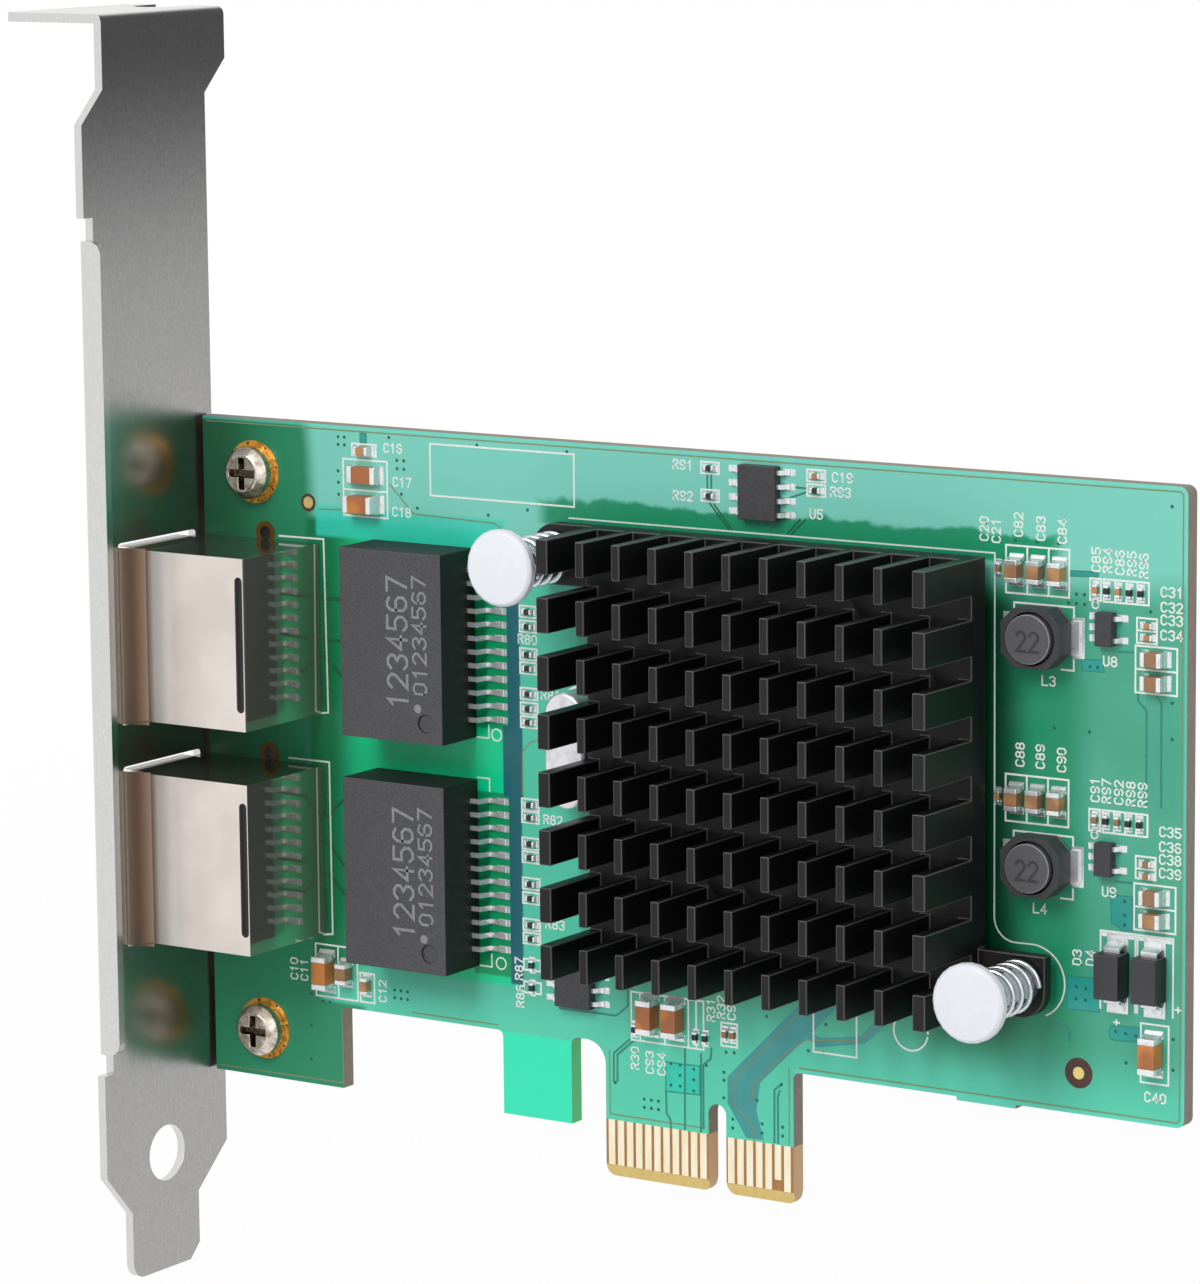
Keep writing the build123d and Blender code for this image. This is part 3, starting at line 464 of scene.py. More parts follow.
def jack_nickel():
    metal = Finish("bright nickel", ink(216, 208, 196), 0.2, 0.8)
    satin = metal.noise(0.25, detail=4, stretch=(1, 1, 1.5))
    cloud = metal.noise(6, detail=2)
    # Painted reflection: walls that don't face the front are a little lighter than the front.
    front = metal.facing("Y").rises(-0.5, -0.9)
    tone = metal.mix(cloud.rises(0.3, 0.7), ink(232, 222, 216), ink(218, 208, 202))
    tone = metal.mix(front, ink(238, 231, 224), tone)
    mouth = box_of("upper_jack_shield")[0].x
    across = metal.axis("X")
    # Painted highlight: a bright band on the front, past the bracket's shade.
    glint = front * across.within(mouth + 3.6, mouth + 4.6, 1.4)
    tone = metal.mix(glint, tone, ink(255, 249, 245))
    # Painted reflection of the bracket's warm shade on the front walls near it.
    near = across.rises(mouth + 3.5, mouth + 2.4) * metal.facing("Y").rises(-0.3, -0.6)
    inside = across.rises(mouth - 1.0, mouth + 1.4)
    shade = metal.mix(inside, ink(255, 240, 222), ink(160, 134, 116))
    tone = metal.mix(near, tone, shade)
    # Painted reflection: the rear wall and the roof are darker.
    rear = metal.facing("X").rises(0.5, 0.9)
    roof = metal.facing("Z").rises(0.5, 0.9)
    tone = metal.mix(rear, tone, ink(176, 176, 166))
    tone = metal.mix(roof, tone, ink(120, 122, 112))
    polish = rear * 0.09 + roof * 0.07
    metal.give({"Base Color": tone, "Roughness": 0.13 + front * 0.18 - polish + satin * 0.05})
    metal.bump(satin * (1 - rear) * (1 - roof), 0.003)
    return metal.material


def screw_steel():
    metal = Finish("screw nickel", ink(200, 186, 166), 0.28, 1.0)
    pits = metal.noise(0.6, detail=3)
    tone = metal.mix(pits.rises(0.4, 0.75), ink(220, 212, 200), ink(164, 148, 128))
    low, high = box_of("bracket_screws")
    head = (high.x - low.x) / 2
    off_x = metal.axis("X") - (low.x + head)
    off_z = abs(metal.axis("Z") - (low.z + high.z) / 2) - ((high.z - low.z) / 2 - head)
    inner = (off_x * off_x + off_z * off_z).rises(3.2, 2.8)
    deep = metal.axis("Y")
    # Painted shade in the cross recess.
    recess_shade = inner * deep.rises(low.y + 0.1, low.y + 0.5) * deep.rises(low.y + 1.6, low.y + 1.4)
    metal.give({"Base Color": metal.mix(recess_shade, tone, ink(108, 96, 82))})
    metal.give({"Roughness": 0.16 + pits * 0.18})
    metal.bump(pits, 0.02)
    return metal.material


BRACKET_STEEL = bracket_steel()
JACK_NICKEL = jack_nickel()
SCREW_STEEL = screw_steel()
print("made", BRACKET_STEEL.name, JACK_NICKEL.name, "and", SCREW_STEEL.name)

# %% [markdown]
# ## Small bright metals
# Tinned leads, solder, spring wire and the crystal's can are small, so one recipe serves them all:
# a speckle that darkens the metal a little and a roughness that follows it. Only the colour, the
# size of the speckle and the gloss differ.

# %% Small bright metals
def bright_metal(name, colour, size=0.25, rough=0.22, metallic=0.7):
    """Tinned leads, solder, spring wire and the crystal's can."""
    metal = Finish(name, ink(*colour), rough, metallic)
    speck = metal.noise(size, detail=3)
    darker = ink(*(0.88 * part for part in colour))
    metal.give({"Base Color": metal.mix(speck.rises(0.45, 0.8), ink(*colour), darker)})
    metal.give({"Roughness": rough - 0.06 + speck * 0.2})
    metal.bump(speck, 0.012)
    return metal.material


TIN = bright_metal("tinned metal", (238, 240, 242), 0.7, 0.2)
SOLDER = bright_metal("solder", (232, 236, 238), 0.5, 0.2)
MARK_GOLD = bright_metal("sighting gold", (246, 216, 136), 0.3, 0.3)
SPRING_WIRE = bright_metal("spring wire", (214, 216, 220), 0.4, 0.16, 1.0)
CRYSTAL_CAN = bright_metal("crystal can", (232, 232, 236), 1.2, 0.28)
COPPER = bright_metal("enamelled copper", (120, 62, 28), 0.2, 0.3)
print("small metals made")

# %% [markdown]
# ## Mouldings, ceramics and anodised aluminium
# Chips and transformers are moulded in a dull compound full of fine filler, so they have a fine
# even grain and almost no gloss; the sides of the transformers and the diodes are darker, a
# painted shade. The heat sink is black anodised: darker than any plastic, and its rounded edges are
# lighter, partly wear and partly a painted highlight. The chip capacitors are fired ceramic of
# several browns, one from another, so their colour follows a noise that is larger than one part.

# %% Mouldings and ceramics
def grained(name, dark, light, grain=0.16, rough=0.62, depth=0.01, side=None):
    """A body or coat with a fine grain of two colours; its sides may take a colour of their own, used
    as painted shade.
    """
    compound = Finish(name, ink(*dark), rough)
    filler = compound.noise(grain, detail=3)
    cloud = compound.noise(5, detail=2)
    share = filler.rises(0.3, 0.75) * 0.7 + cloud * 0.3
    tone = compound.mix(share, ink(*dark), ink(*light))
    if side:
        tone = compound.mix(abs(compound.facing("Y")).rises(0.6, 0.3), tone, ink(*side))
    compound.give({"Base Color": tone})
    compound.give({"Roughness": rough - 0.08 + filler * 0.16})
    compound.bump(filler, depth)
    return compound.material


def anodised(name, dark, light, rough):
    black = Finish(name, ink(*dark), rough, Specular_IOR_Level=0.35)
    sawn = black.noise(0.15, detail=3, stretch=(8, 1, 1))
    cloud = black.noise(9, detail=2)
    black.give({"Base Color": black.mix(sawn * 0.6 + cloud * 0.4, ink(*dark), ink(*light))})
    black.give({"Roughness": rough - 0.06 + sawn * 0.14})
    black.bump(sawn, 0.008)
    return black.material


def ceramic(name, first, second):
    fired = Finish(name, ink(*first), 0.42)
    kind = fired.noise(2.6, detail=0)
    speck = fired.noise(0.2, detail=2)
    brown = fired.mix(kind.rises(0.42, 0.58), ink(*first), ink(*second))
    brown = fired.mix(speck * 0.3, brown, ink(128, 84, 50))
    fired.give({"Base Color": brown, "Roughness": 0.32 + speck * 0.2})
    fired.bump(speck, 0.01)
    return fired.material


# The transformers' and the diodes' sides are painted darker than their faces: painted shade.
MOULDING = grained("transformer compound", (60, 60, 63), (84, 84, 88), side=(22, 24, 25))
CHIP_BLACK = grained("chip compound", (44, 44, 46), (74, 74, 77), 0.12)
DIODE_BLACK = grained("diode compound", (38, 38, 40), (70, 70, 72), 0.12, 0.5, side=(20, 20, 21))
JACK_PLASTIC = grained("black insulator", (12, 12, 12), (26, 26, 27), 0.3, 0.45)
NYLON = grained("white nylon", (233, 236, 244), (239, 242, 248), 1.5, 0.34, 0.004)
FERRITE = grained("ferrite", (40, 40, 43), (66, 66, 70), 0.14, 0.5)
DRUM = grained("ground ferrite", (70, 70, 73), (98, 98, 102), 0.1, 0.42)
RESISTOR = grained("glazed resistor", (14, 14, 16), (40, 40, 44), 0.2, 0.3)
PAD_RUBBER = grained("thermal pad", (118, 120, 126), (146, 148, 152), 0.3, 0.8)
WINDOW = grained("light window", (196, 200, 190), (224, 228, 216), 0.4, 0.18)
ANODISED = anodised("black anodising", (5, 5, 6), (15, 15, 16), 0.42)
# The heat sink's rounded edges: a lighter tone, partly wear and partly a painted highlight.
WORN_EDGE_AND_SHEEN = anodised("worn anodised edge with painted sheen", (58, 57, 57), (98, 96, 95), 0.36)
WORN_FERRITE = grained("worn ferrite edge", (120, 120, 124), (160, 160, 164), 0.1, 0.4)
CERAMIC = ceramic("orange ceramic", (216, 136, 66), (180, 110, 64))
TAN_CERAMIC = ceramic("tan ceramic", (196, 146, 96), (158, 120, 84))
print("mouldings made")

# %% [markdown]
# ## A finish for every node
# Each CAD node keeps its own mesh and place and gets its finish in its material slot. The table
# could go the other way, from node to finish, but this way round shows what shares a finish.

# %% Dress the nodes
dressing = {
    SOLDER_MASK: ["pcb"],
    GOLD: ["edge_contacts_front", "edge_contacts_back"],
    MARK_GOLD: ["sighting_marks"],
    RING_GOLD: ["plated_rings", "upper_jack_contacts", "lower_jack_contacts"],
    BRACKET_STEEL: ["bracket"],
    SCREW_STEEL: ["bracket_screws"],
    JACK_NICKEL: ["upper_jack_shield", "lower_jack_shield"],
    JACK_PLASTIC: ["upper_jack_body", "lower_jack_body"],
    WINDOW: ["upper_jack_lights", "lower_jack_lights"],
    SOLDER: ["jack_solder_joints"],
    TIN: [name for name in nodes if name.endswith("_leads") or name.endswith("_ends")],
    MOULDING: ["upper_magnetics", "lower_magnetics"],
    CHIP_BLACK: [
        "controller_chip", "boot_memory", "setup_memory", "upper_regulator", "lower_regulator"
    ],
    PAD_RUBBER: ["thermal_pad"],
    ANODISED: ["heat_sink"],
    NYLON: ["upper_push_pin", "lower_push_pin"],
    SPRING_WIRE: ["push_pin_springs"],
    FERRITE: ["inductor_shields"],
    DRUM: ["inductor_drums"],
    COPPER: ["inductor_windings"],
    DIODE_BLACK: ["diodes"],
    CRYSTAL_CAN: ["crystal_can", "crystal_base"],
    CERAMIC: ["large_capacitor_bodies", "flat_capacitor_bodies"],
    TAN_CERAMIC: ["medium_capacitor_bodies", "small_capacitor_bodies", "tiny_capacitor_bodies"],
    RESISTOR: ["resistor_bodies"],
}
dressing[TIN].append("inductor_terminals")


def dress(thing, material):
    thing.data.materials.clear()
    thing.data.materials.append(material)


finish_of = {}
for material, names in dressing.items():
    for name in names:
        dress(nodes[name], material)
        finish_of[name] = material
print("nodes without a finish:", sorted(set(nodes) - set(finish_of)))

# %% [markdown]
# ## Edges that catch the light
# No real edge is sharp: a narrow round runs along every fold, fin and moulding, and it shows as
# a thin bright line. The CAD solids are left as they are; a copy of each mesh has its coplanar
# triangles joined, gets a bevel on every sharp edge, and is shown in the solid's place.

# %% Rounded copies
def show(name, mesh, material, replaced=()):
    """Puts a finished mesh into the scene as a piece of the card."""
    thing = bpy.data.objects.new(name, mesh)
    bpy.context.scene.collection.objects.link(thing)
    dress(thing, material)
    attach(thing, "root")
    if replaced:
        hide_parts(*replaced)
    return thing


def welded(node):
    """The faces of a node, with the vertices that share a place joined."""
    shape = bmesh.new()
    shape.from_mesh(nodes[node].data)
    bmesh.ops.remove_doubles(shape, verts=shape.verts, dist=0.0005 * MM)
    return shape


# The heat sink's bevels take a lighter finish: partly wear and partly a painted highlight.
edge_finish = {"heat_sink": WORN_EDGE_AND_SHEEN, "inductor_drums": WORN_FERRITE}
coplanar = math.radians(0.5)
fold = math.radians(35)
crease = math.radians(20)


def rounded_copy(node, width):
    """A copy of a node whose sharp edges have a narrow round, in millimetres."""
    shape = welded(node)
    bmesh.ops.dissolve_limit(shape, angle_limit=coplanar, verts=shape.verts, edges=shape.edges)
    mesh = bpy.data.meshes.new(node + "_rounded")
    shape.to_mesh(mesh)
    shape.free()
    copy = show(node + "_rounded", mesh, finish_of[node], [node])
    bevel = copy.modifiers.new("round", "BEVEL")
    bevel.width = width * MM
    bevel.segments = 2
    bevel.limit_method = "ANGLE"
    bevel.angle_limit = fold
    if node in edge_finish:
        copy.data.materials.append(edge_finish[node])
        bevel.material = 1
    graph = bpy.context.evaluated_depsgraph_get()
    settled = bpy.data.meshes.new_from_object(copy.evaluated_get(graph))
    copy.modifiers.clear()
    copy.data = settled
    for face in settled.polygons:
        face.use_smooth = True
    settled.set_sharp_from_angle(angle=crease)
    return copy


widths = {
    "heat_sink": 0.1,
    "bracket": 0.12,
    "upper_magnetics": 0.16,
    "lower_magnetics": 0.16,
    "upper_jack_shield": 0.1,
    "lower_jack_shield": 0.1,
    "boot_memory": 0.08,
    "setup_memory": 0.08,
    "upper_regulator": 0.06,
    "lower_regulator": 0.06,
    "diodes": 0.12,
    "inductor_shields": 0.1,
    "inductor_drums": 0.08,
    "crystal_can": 0.12,
    "bracket_screws": 0.12,
    "upper_push_pin": 0.14,
    "lower_push_pin": 0.14,
}
for name in sorted(nodes):
    if "capacitor" in name or name.startswith("resistor"):
        widths[name] = 0.07
rounded = [rounded_copy(name, width) for name, width in widths.items()]
print("rounded copies:", len(rounded), "faces:", sum(len(piece.data.polygons) for piece in rounded))

# %% [markdown]
# ## The push-pin springs
# A spring on each push pin holds the heat sink down. In the solids its wire has four flat sides. A
# smooth coil is shown in its place: a helix curve with a round section, turned to a mesh, from
# the same box in the frame. A curve is quicker than a mesh here, for it bends its own section.

# %% Springs
springs_low, springs_high = box_of("push_pin_springs")
spring_wire = 0.5
spring_turns = 5
spring_radius = 2.15
pin_middles = [(low + high) / 2 for low, high in map(box_of, ("upper_push_pin", "lower_push_pin"))]


def coil_points(x, z, steps=28):
    """Points of one spring, from the ear of the heat sink to the pin's head."""
    first = springs_high.y - spring_wire / 2
    last = springs_low.y + spring_wire / 2
    count = spring_turns * steps
    for i in range(count + 1):
        turn = 2 * math.pi * i / steps
        y = first + (last - first) * i / count
        yield (x + spring_radius * math.cos(turn), y, z + spring_radius * math.sin(turn))


curve = bpy.data.curves.new("push_pin_coils", "CURVE")
curve.dimensions = "3D"
curve.bevel_depth = spring_wire / 2 * MM
curve.bevel_resolution = 3
curve.use_fill_caps = True
for centre in pin_middles:
    points = [Vector(point) * MM for point in coil_points(centre.x, centre.z)]
    line = curve.splines.new("POLY")
    line.points.add(len(points) - 1)
    for point, place in zip(line.points, points):
        point.co = (*place, 1.0)
holder = bpy.data.objects.new("coil_maker", curve)
coils = bpy.data.meshes.new_from_object(holder)
bpy.data.objects.remove(holder)
for face in coils.polygons:
    face.use_smooth = True
show("push_pin_coils", coils, SPRING_WIRE, ["push_pin_springs"])
print("spring faces:", len(coils.polygons))

# %% [markdown]
# ## Gathering faces
# The rest is drawn face by face. Each piece starts as an empty shape, a bmesh, that gathers faces
# from many calls, and is settled once: its faces are turned outwards, and it goes into the scene
# as one piece. Hundreds of small things then make a handful of pieces.

# %% Gathering faces
def join_rings(shape, first, second, closed=True):
    """Faces from one row of vertices to the next, all the way round where it is closed."""
    count = len(first)
    for i in range(count if closed else count - 1):
        j = (i + 1) % count
        shape.faces.new((first[i], first[j], second[j], second[i]))


def settle(shape, name, material):
    """Turns the gathered faces into one piece of the card."""
    bmesh.ops.recalc_face_normals(shape, faces=shape.faces)
    mesh = bpy.data.meshes.new(name)
    shape.to_mesh(mesh)
    shape.free()
    show(name, mesh, material)
    print(name, "faces:", len(mesh.polygons))


print("ready to gather faces")

# %% [markdown]
# ## Contact springs of the jacks
# The shell of a jack has thin sprung tongues that press on the edges of the bracket's opening and
# earth the shell. They are bent from strip: each leaves its wall of the shell at a low slope and
# runs into the opening. Each is a short profile drawn out along the wall, one near the eye, one
# below and one above.

# %% Contact springs
def strip_profile(mouth, wall, reach):
    """A tongue from the side: it leaves a wall of the shell and stands reach off it at the mouth."""
    thick = math.copysign(0.12, reach)
    bend = wall + 0.95 * reach
    root, knee, tip = mouth + 2.6, mouth + 0.3, mouth - 0.7
    outer = [(root, wall), (knee, bend), (tip, wall + reach)]
    inner = [(tip, wall + reach - thick), (knee, bend - thick), (root, wall - thick / 2)]
    return outer + inner


def tongue(shape, profile, first, last, lying=False):
    """Draws a profile out upwards or, for a lying strip, away from the board."""
    ends = []
    for place in (first, last):
        spots = [(x, place, level) if lying else (x, level, place) for x, level in profile]
        ends.append([shape.verts.new(Vector(spot) * MM) for spot in spots])
        shape.faces.new(ends[-1])
    join_rings(shape, *ends)


tongues = bmesh.new()
for name in ("upper_jack_shield", "lower_jack_shield"):
    low, high = box_of(name)
    near = strip_profile(low.x, low.y, -0.74)
    below = strip_profile(low.x, low.z, -0.46)
    above = strip_profile(low.x, high.z, 0.2)
    tongue(tongues, near, low.z - 0.33, high.z + 0.15)
    tongue(tongues, below, low.y - 0.3, low.y + 9, lying=True)
    tongue(tongues, above, low.y + 0.3, low.y + 9, lying=True)
settle(tongues, "jack_contact_springs", JACK_NICKEL)

# %% [markdown]
# ## Ribbons on the board
# Printed ink and copper traces are thin layers with a constant width. A ribbon follows a line of
# points, with mitred corners, and has a real thickness of a few hundredths of a millimetre, so it
# is crisp at any size and catches light on its edges. All that is printed or etched is made
# with it.

# %% Ribbon maker
sharpest = 0.4  # keeps the mitre of a tight corner from running out into a spike


def ribbon(shape, points, width, height, closed=False):
    """Adds a flat strip along points on the board's face, given in millimetres."""
    count = len(points)
    sides = []
    for i, (x, z) in enumerate(points):
        before = points[i - 1] if (i or closed) else None
        after = points[(i + 1) % count] if (i < count - 1 or closed) else None
        arms = []
        if before is not None:
            arms.append(Vector((x - before[0], z - before[1])).normalized())
        if after is not None:
            arms.append(Vector((after[0] - x, after[1] - z)).normalized())
        along = sum(arms, Vector((0.0, 0.0))).normalized()
        across = Vector((-along.y, along.x))
        stretch = max(across.dot(Vector((-arms[0].y, arms[0].x))), sharpest)
        reach = across * (width / 2 / stretch)
        end = Vector((0.0, 0.0))
        if before is None:
            end = -along * width / 2
        if after is None:
            end = along * width / 2
        x, z = x + end.x, z + end.y
        sides.append([(x + s * reach.x, z + s * reach.y) for s in (1, -1)])
    rings = []
    for left, right in sides:
        corners = [(left, 0.0), (left, height), (right, height), (right, 0.0)]
        rings.append([shape.verts.new(on_face(*spot, up)) for spot, up in corners])
    for first, second in zip(rings, rings[1:] + (rings[:1] if closed else [])):
        join_rings(shape, first, second, closed=False)
    if not closed:
        shape.faces.new(rings[0])
        shape.faces.new(rings[-1])


def arc(x, z, radius, start, end, steps=12):
    """Points of an arc, with angles in degrees."""
    turns = [math.radians(start + (end - start) * i / steps) for i in range(steps + 1)]
    return [(x + radius * math.cos(turn), z + radius * math.sin(turn)) for turn in turns]


def disc(shape, x, z, radius, height, sides=10):
    """A low round button of ink, resin or copper on the board's face."""
    rings = []
    for reach, up in ((radius, 0.0), (0.9 * radius, height)):
        corners = arc(x, z, reach, 0, 360, sides)[:-1]
        rings.append([shape.verts.new(on_face(*corner, up)) for corner in corners])
    shape.faces.new(rings[1])
    join_rings(shape, *rings)


print("ribbon tools are ready")

# %% [markdown]
# ## Pieces of a node
# Many nodes hold a group of like solids, such as all the end caps of one size of capacitor. Their
# places are read from the mesh: its loose parts are found by walking along the edges from vertex
# to vertex, and each gives a box. Solder pads, fillets and some printed boxes are then set round
# the real parts by loops. The table says how far the solder of each kind reaches past its caps.

# %% Boxes of the loose parts
Box = namedtuple("Box", "left right low high top")


def middle(box):
    return Vector(((box.left + box.right) / 2, (box.low + box.high) / 2))


def loose_boxes(node):
    """Boxes of the separate solids in a node, in millimetres; top is the height over the board."""
    shape = welded(node)
    left = set(shape.verts)
    boxes = []
    while left:
        stack = [left.pop()]
        found = []
        while stack:
            vertex = stack.pop()
            found.append(vertex.co / MM)
            others = [edge.other_vert(vertex) for edge in vertex.link_edges]
            fresh = [other for other in others if other in left]
            left.difference_update(fresh)
            stack += fresh
        xs, ys, zs = zip(*found)
        boxes.append(Box(min(xs), max(xs), min(zs), max(zs), face_y - min(ys)))
    shape.free()
    return sorted(boxes)


reaches = {
    "large_capacitor": 0.45,
    "flat_capacitor": 0.4,
    "medium_capacitor": 0.38,
    "small_capacitor": 0.32,
    "tiny_capacitor": 0.26,
    "resistor": 0.26,
}
chips = []
for kind in reaches:
    caps = loose_boxes(kind + "_ends")
    for body in loose_boxes(kind + "_bodies"):
        caps.sort(key=lambda box: (middle(box) - middle(body)).length)
        chips.append((kind, body, caps[0], caps[1]))
print("two-ended chips:", len(chips))

# %% [markdown]
# ## Which way an end looks
# Solder reaches out past each end cap and each toe, so each needs a direction. For a chip it is
# the way from its middle to the cap, and for a lead the way from the middle of its moulding. Two
# generators give every end with its direction, and all the solder is made by looping over them.

# %% Ends and leads
leaded = [
    "upper_magnetics", "lower_magnetics", "boot_memory", "setup_memory",
    "upper_regulator", "lower_regulator",
]


def towards(step):
    """The direction along X or along Z that a step mostly goes in."""
    if abs(step.x) > abs(step.y):
        return Vector((math.copysign(1, step.x), 0))
    return Vector((0, math.copysign(1, step.y)))


def chip_ends():
    """Every end cap: its box, the way it looks and how far its solder reaches."""
    for kind, body, *caps in chips:
        for cap in caps:
            yield cap, towards(middle(cap) - middle(body)), reaches[kind]


def leads():
    """Every lead of the moulded chips: its box and the way its toe points."""
    for name in leaded:
        low, high = box_of(name)
        for lead in loose_boxes(name + "_leads"):
            aside = middle(lead).x - (low.x + high.x) / 2
            yield lead, Vector((math.copysign(1, aside), 0))


print("end caps:", len(list(chip_ends())), "leads:", len(list(leads())))

# %% [markdown]
# ## Solder
# Every end cap and every lead stands on a tinned pad that reaches past it, and solder climbs its
# end face in a hollow curve. A fillet is a strip with a few slopes, from the pad's rim up the face.

# %% Solder fillets
def fillet(shape, box, out, reach, climb, side_room=0.06):
    """Solder from a pad's rim to the face of an end cap or toe that looks along out."""
    wide, tall = box.right - box.left, box.high - box.low
    half_along, half_across = (wide / 2, tall / 2) if out.x else (tall / 2, wide / 2)
    across = Vector((-out.y, out.x)) * (half_across + side_room)
    profile = [
        (reach, 0.0), (reach, 0.04), (0.35 * reach, 0.22 * climb), (0.1 * reach, 0.6 * climb),
        (0.01, climb), (0.01, 0.0),
    ]
    rings = []
    for side in (1, -1):
        ends = [(middle(box) + out * (half_along + a) + across * side, up) for a, up in profile]
        rings.append([shape.verts.new(on_face(spot.x, spot.y, up)) for spot, up in ends])
    join_rings(shape, *rings)
    shape.faces.new(rings[0])
    shape.faces.new(list(reversed(rings[1])))


wetted = 0.62  # the share of an end cap's height that solder climbs
solder = bmesh.new()
for cap, out, reach in chip_ends():
    fillet(solder, cap, out, reach, wetted * cap.top)
for lead, out in leads():
    fillet(solder, lead, out, reach=0.3, climb=0.16, side_room=0.08)
settle(solder, "solder_fillets", SOLDER)

# %% [markdown]
# ## Tinned pads
# Under every toe lies a copper pad that the solder paste has tinned, a little wider than the lead.
# Each is a low plate with sloped sides, so that its rim catches light.

# %% Tinned pads
def toe_pad(shape, box, out, length, reach, side_room):
    """A tinned pad under the toe of a lead that points along out."""
    if out.x:
        end = (box.right if out.x > 0 else box.left) + out.x * reach
        x0, x1 = sorted((end, end - out.x * length))
        z0, z1 = box.low - side_room, box.high + side_room
    else:
        end = (box.high if out.y > 0 else box.low) + out.y * reach
        x0, x1 = box.left - side_room, box.right + side_room
        z0, z1 = sorted((end, end - out.y * length))
    rings = []
    for inset, up in ((0.0, 0.0), (0.05, 0.045)):
        corners = [
            (x0 + inset, z0 + inset), (x1 - inset, z0 + inset),
            (x1 - inset, z1 - inset), (x0 + inset, z1 - inset),
        ]
        rings.append([shape.verts.new(on_face(*corner, up)) for corner in corners])
    shape.faces.new(rings[1])
    join_rings(shape, *rings)


diode_middle_z = 26
inductor_middle_x = 34
pads = bmesh.new()
for lead in loose_boxes("diode_leads"):
    out = Vector((0, 1 if lead.high > diode_middle_z else -1))
    toe_pad(pads, lead, out, length=2.3, reach=0.35, side_room=0.3)
for lead in loose_boxes("inductor_terminals"):
    out = Vector((1 if lead.right > inductor_middle_x else -1, 0))
    toe_pad(pads, lead, out, length=1.2, reach=0.35, side_room=0.3)
for lead, out in leads():
    toe_pad(pads, lead, out, length=1.3, reach=0.45, side_room=0.1)
for cap, out, reach in chip_ends():
    toe_pad(pads, cap, out, length=reach + 0.3, reach=reach + 0.06, side_room=0.08)
settle(pads, "tinned_pads", SOLDER)

# %% [markdown]
# ## Copper that shows through
# The lacquer is clear enough to show what the copper does under it: lines of bare laminate where
# one copper area ends, narrow traces, bluer areas of solid copper, and the small dark dots of
# vias that lead through the board. They stand a hundredth of a millimetre proud, each kind at a
# height of its own, so no two faces lie in one plane.

# %% Copper areas
AREA = grained("lacquer over copper area", (24, 150, 142), (36, 166, 156), 2.0, 0.3, 0.004)
BAND = grained("lacquer over pair gap", (54, 148, 150), (66, 160, 158), 2.0, 0.3, 0.004)
TRACE = grained("lacquer over trace", (34, 128, 112), (48, 142, 124), 0.6, 0.34, 0.004)
PALE_AREA = grained("lacquer over bright copper", (30, 200, 174), (44, 214, 186), 2.0, 0.3, 0.004)
DEEP = grained("deep lacquer", (2, 88, 52), (10, 104, 62), 0.6, 0.34, 0.004)
PAIR = grained("bare laminate line", (112, 142, 100), (134, 146, 108), 0.6, 0.4, 0.004)
VIA = grained("plugged via", (6, 84, 74), (18, 112, 98), 0.1, 0.4, 0.006)


def area(shape, corners, height):
    """A thin area of copper under lacquer with the given corners."""
    foot, top = (
        [shape.verts.new(on_face(*corner, up)) for corner in corners] for up in (0.0, height)
    )
    shape.faces.new(top)
    join_rings(shape, foot, top)


area_high = 0.006
copper_shapes = [
    [(-5.53, 11.56), (-1.86, 11.61), (-1.89, 8.94), (-5.55, 8.81)],
    [(40.36, 32.1), (42.5, 32.1), (42.5, 29.2), (41.5, 29.05), (41.2, 29.29), (40.45, 29.61)],
    [(36.19, 24.39), (39.2, 24.6), (39.3, 21.6), (36.13, 21.53)],
    [(40.5, 20.57), (43.26, 20.7), (43.27, 19.42), (40.66, 19.3), (40.28, 19.59), (40.28, 20.2)],
    [(37.36, 52.37), (39.46, 52.47), (39.62, 51.41), (37.53, 51.37)],
    [(36.3, 59.95), (39.0, 60.05), (39.0, 59.6), (36.3, 59.5)],
    [(-38.95, 67.3), (-38.25, 67.3), (-38.25, 66.4), (-38.95, 66.4)],
]
copper = bmesh.new()
for corners in copper_shapes[1:]:
    area(copper, corners, area_high)
settle(copper, "copper_areas", AREA)
plane = bmesh.new()
area(plane, copper_shapes[0], area_high)
settle(plane, "contact_plane", PALE_AREA)

pair_shapes = {
    0.004: [
        (10.2, 20.0), (1.13, 11.04), (1.12, 8.58), (3.1, 5.6), (5.0, 5.6), (4.2, 8.2),
        (4.6, 10.9), (13.6, 19.6),
    ],
    0.005: [
        (8.38, 16.57), (11.13, 15.85), (15.22, 16.53), (17.03, 18.5), (17.71, 17.71),
        (15.67, 15.87), (10.66, 14.93),
    ],
}
pairs = bmesh.new()
for height, corners in pair_shapes.items():
    area(pairs, corners, height)
settle(pairs, "pair_gaps", BAND)

# %% [markdown]
# ## Traces
# A trace is a narrow copper line from pad to pad or to a via. Where it runs over a copper area it
# looks darker, beside the transformers it is deep green, and where two copper areas meet there is
# a line of bare laminate. Each kind has a width and a height of its own.

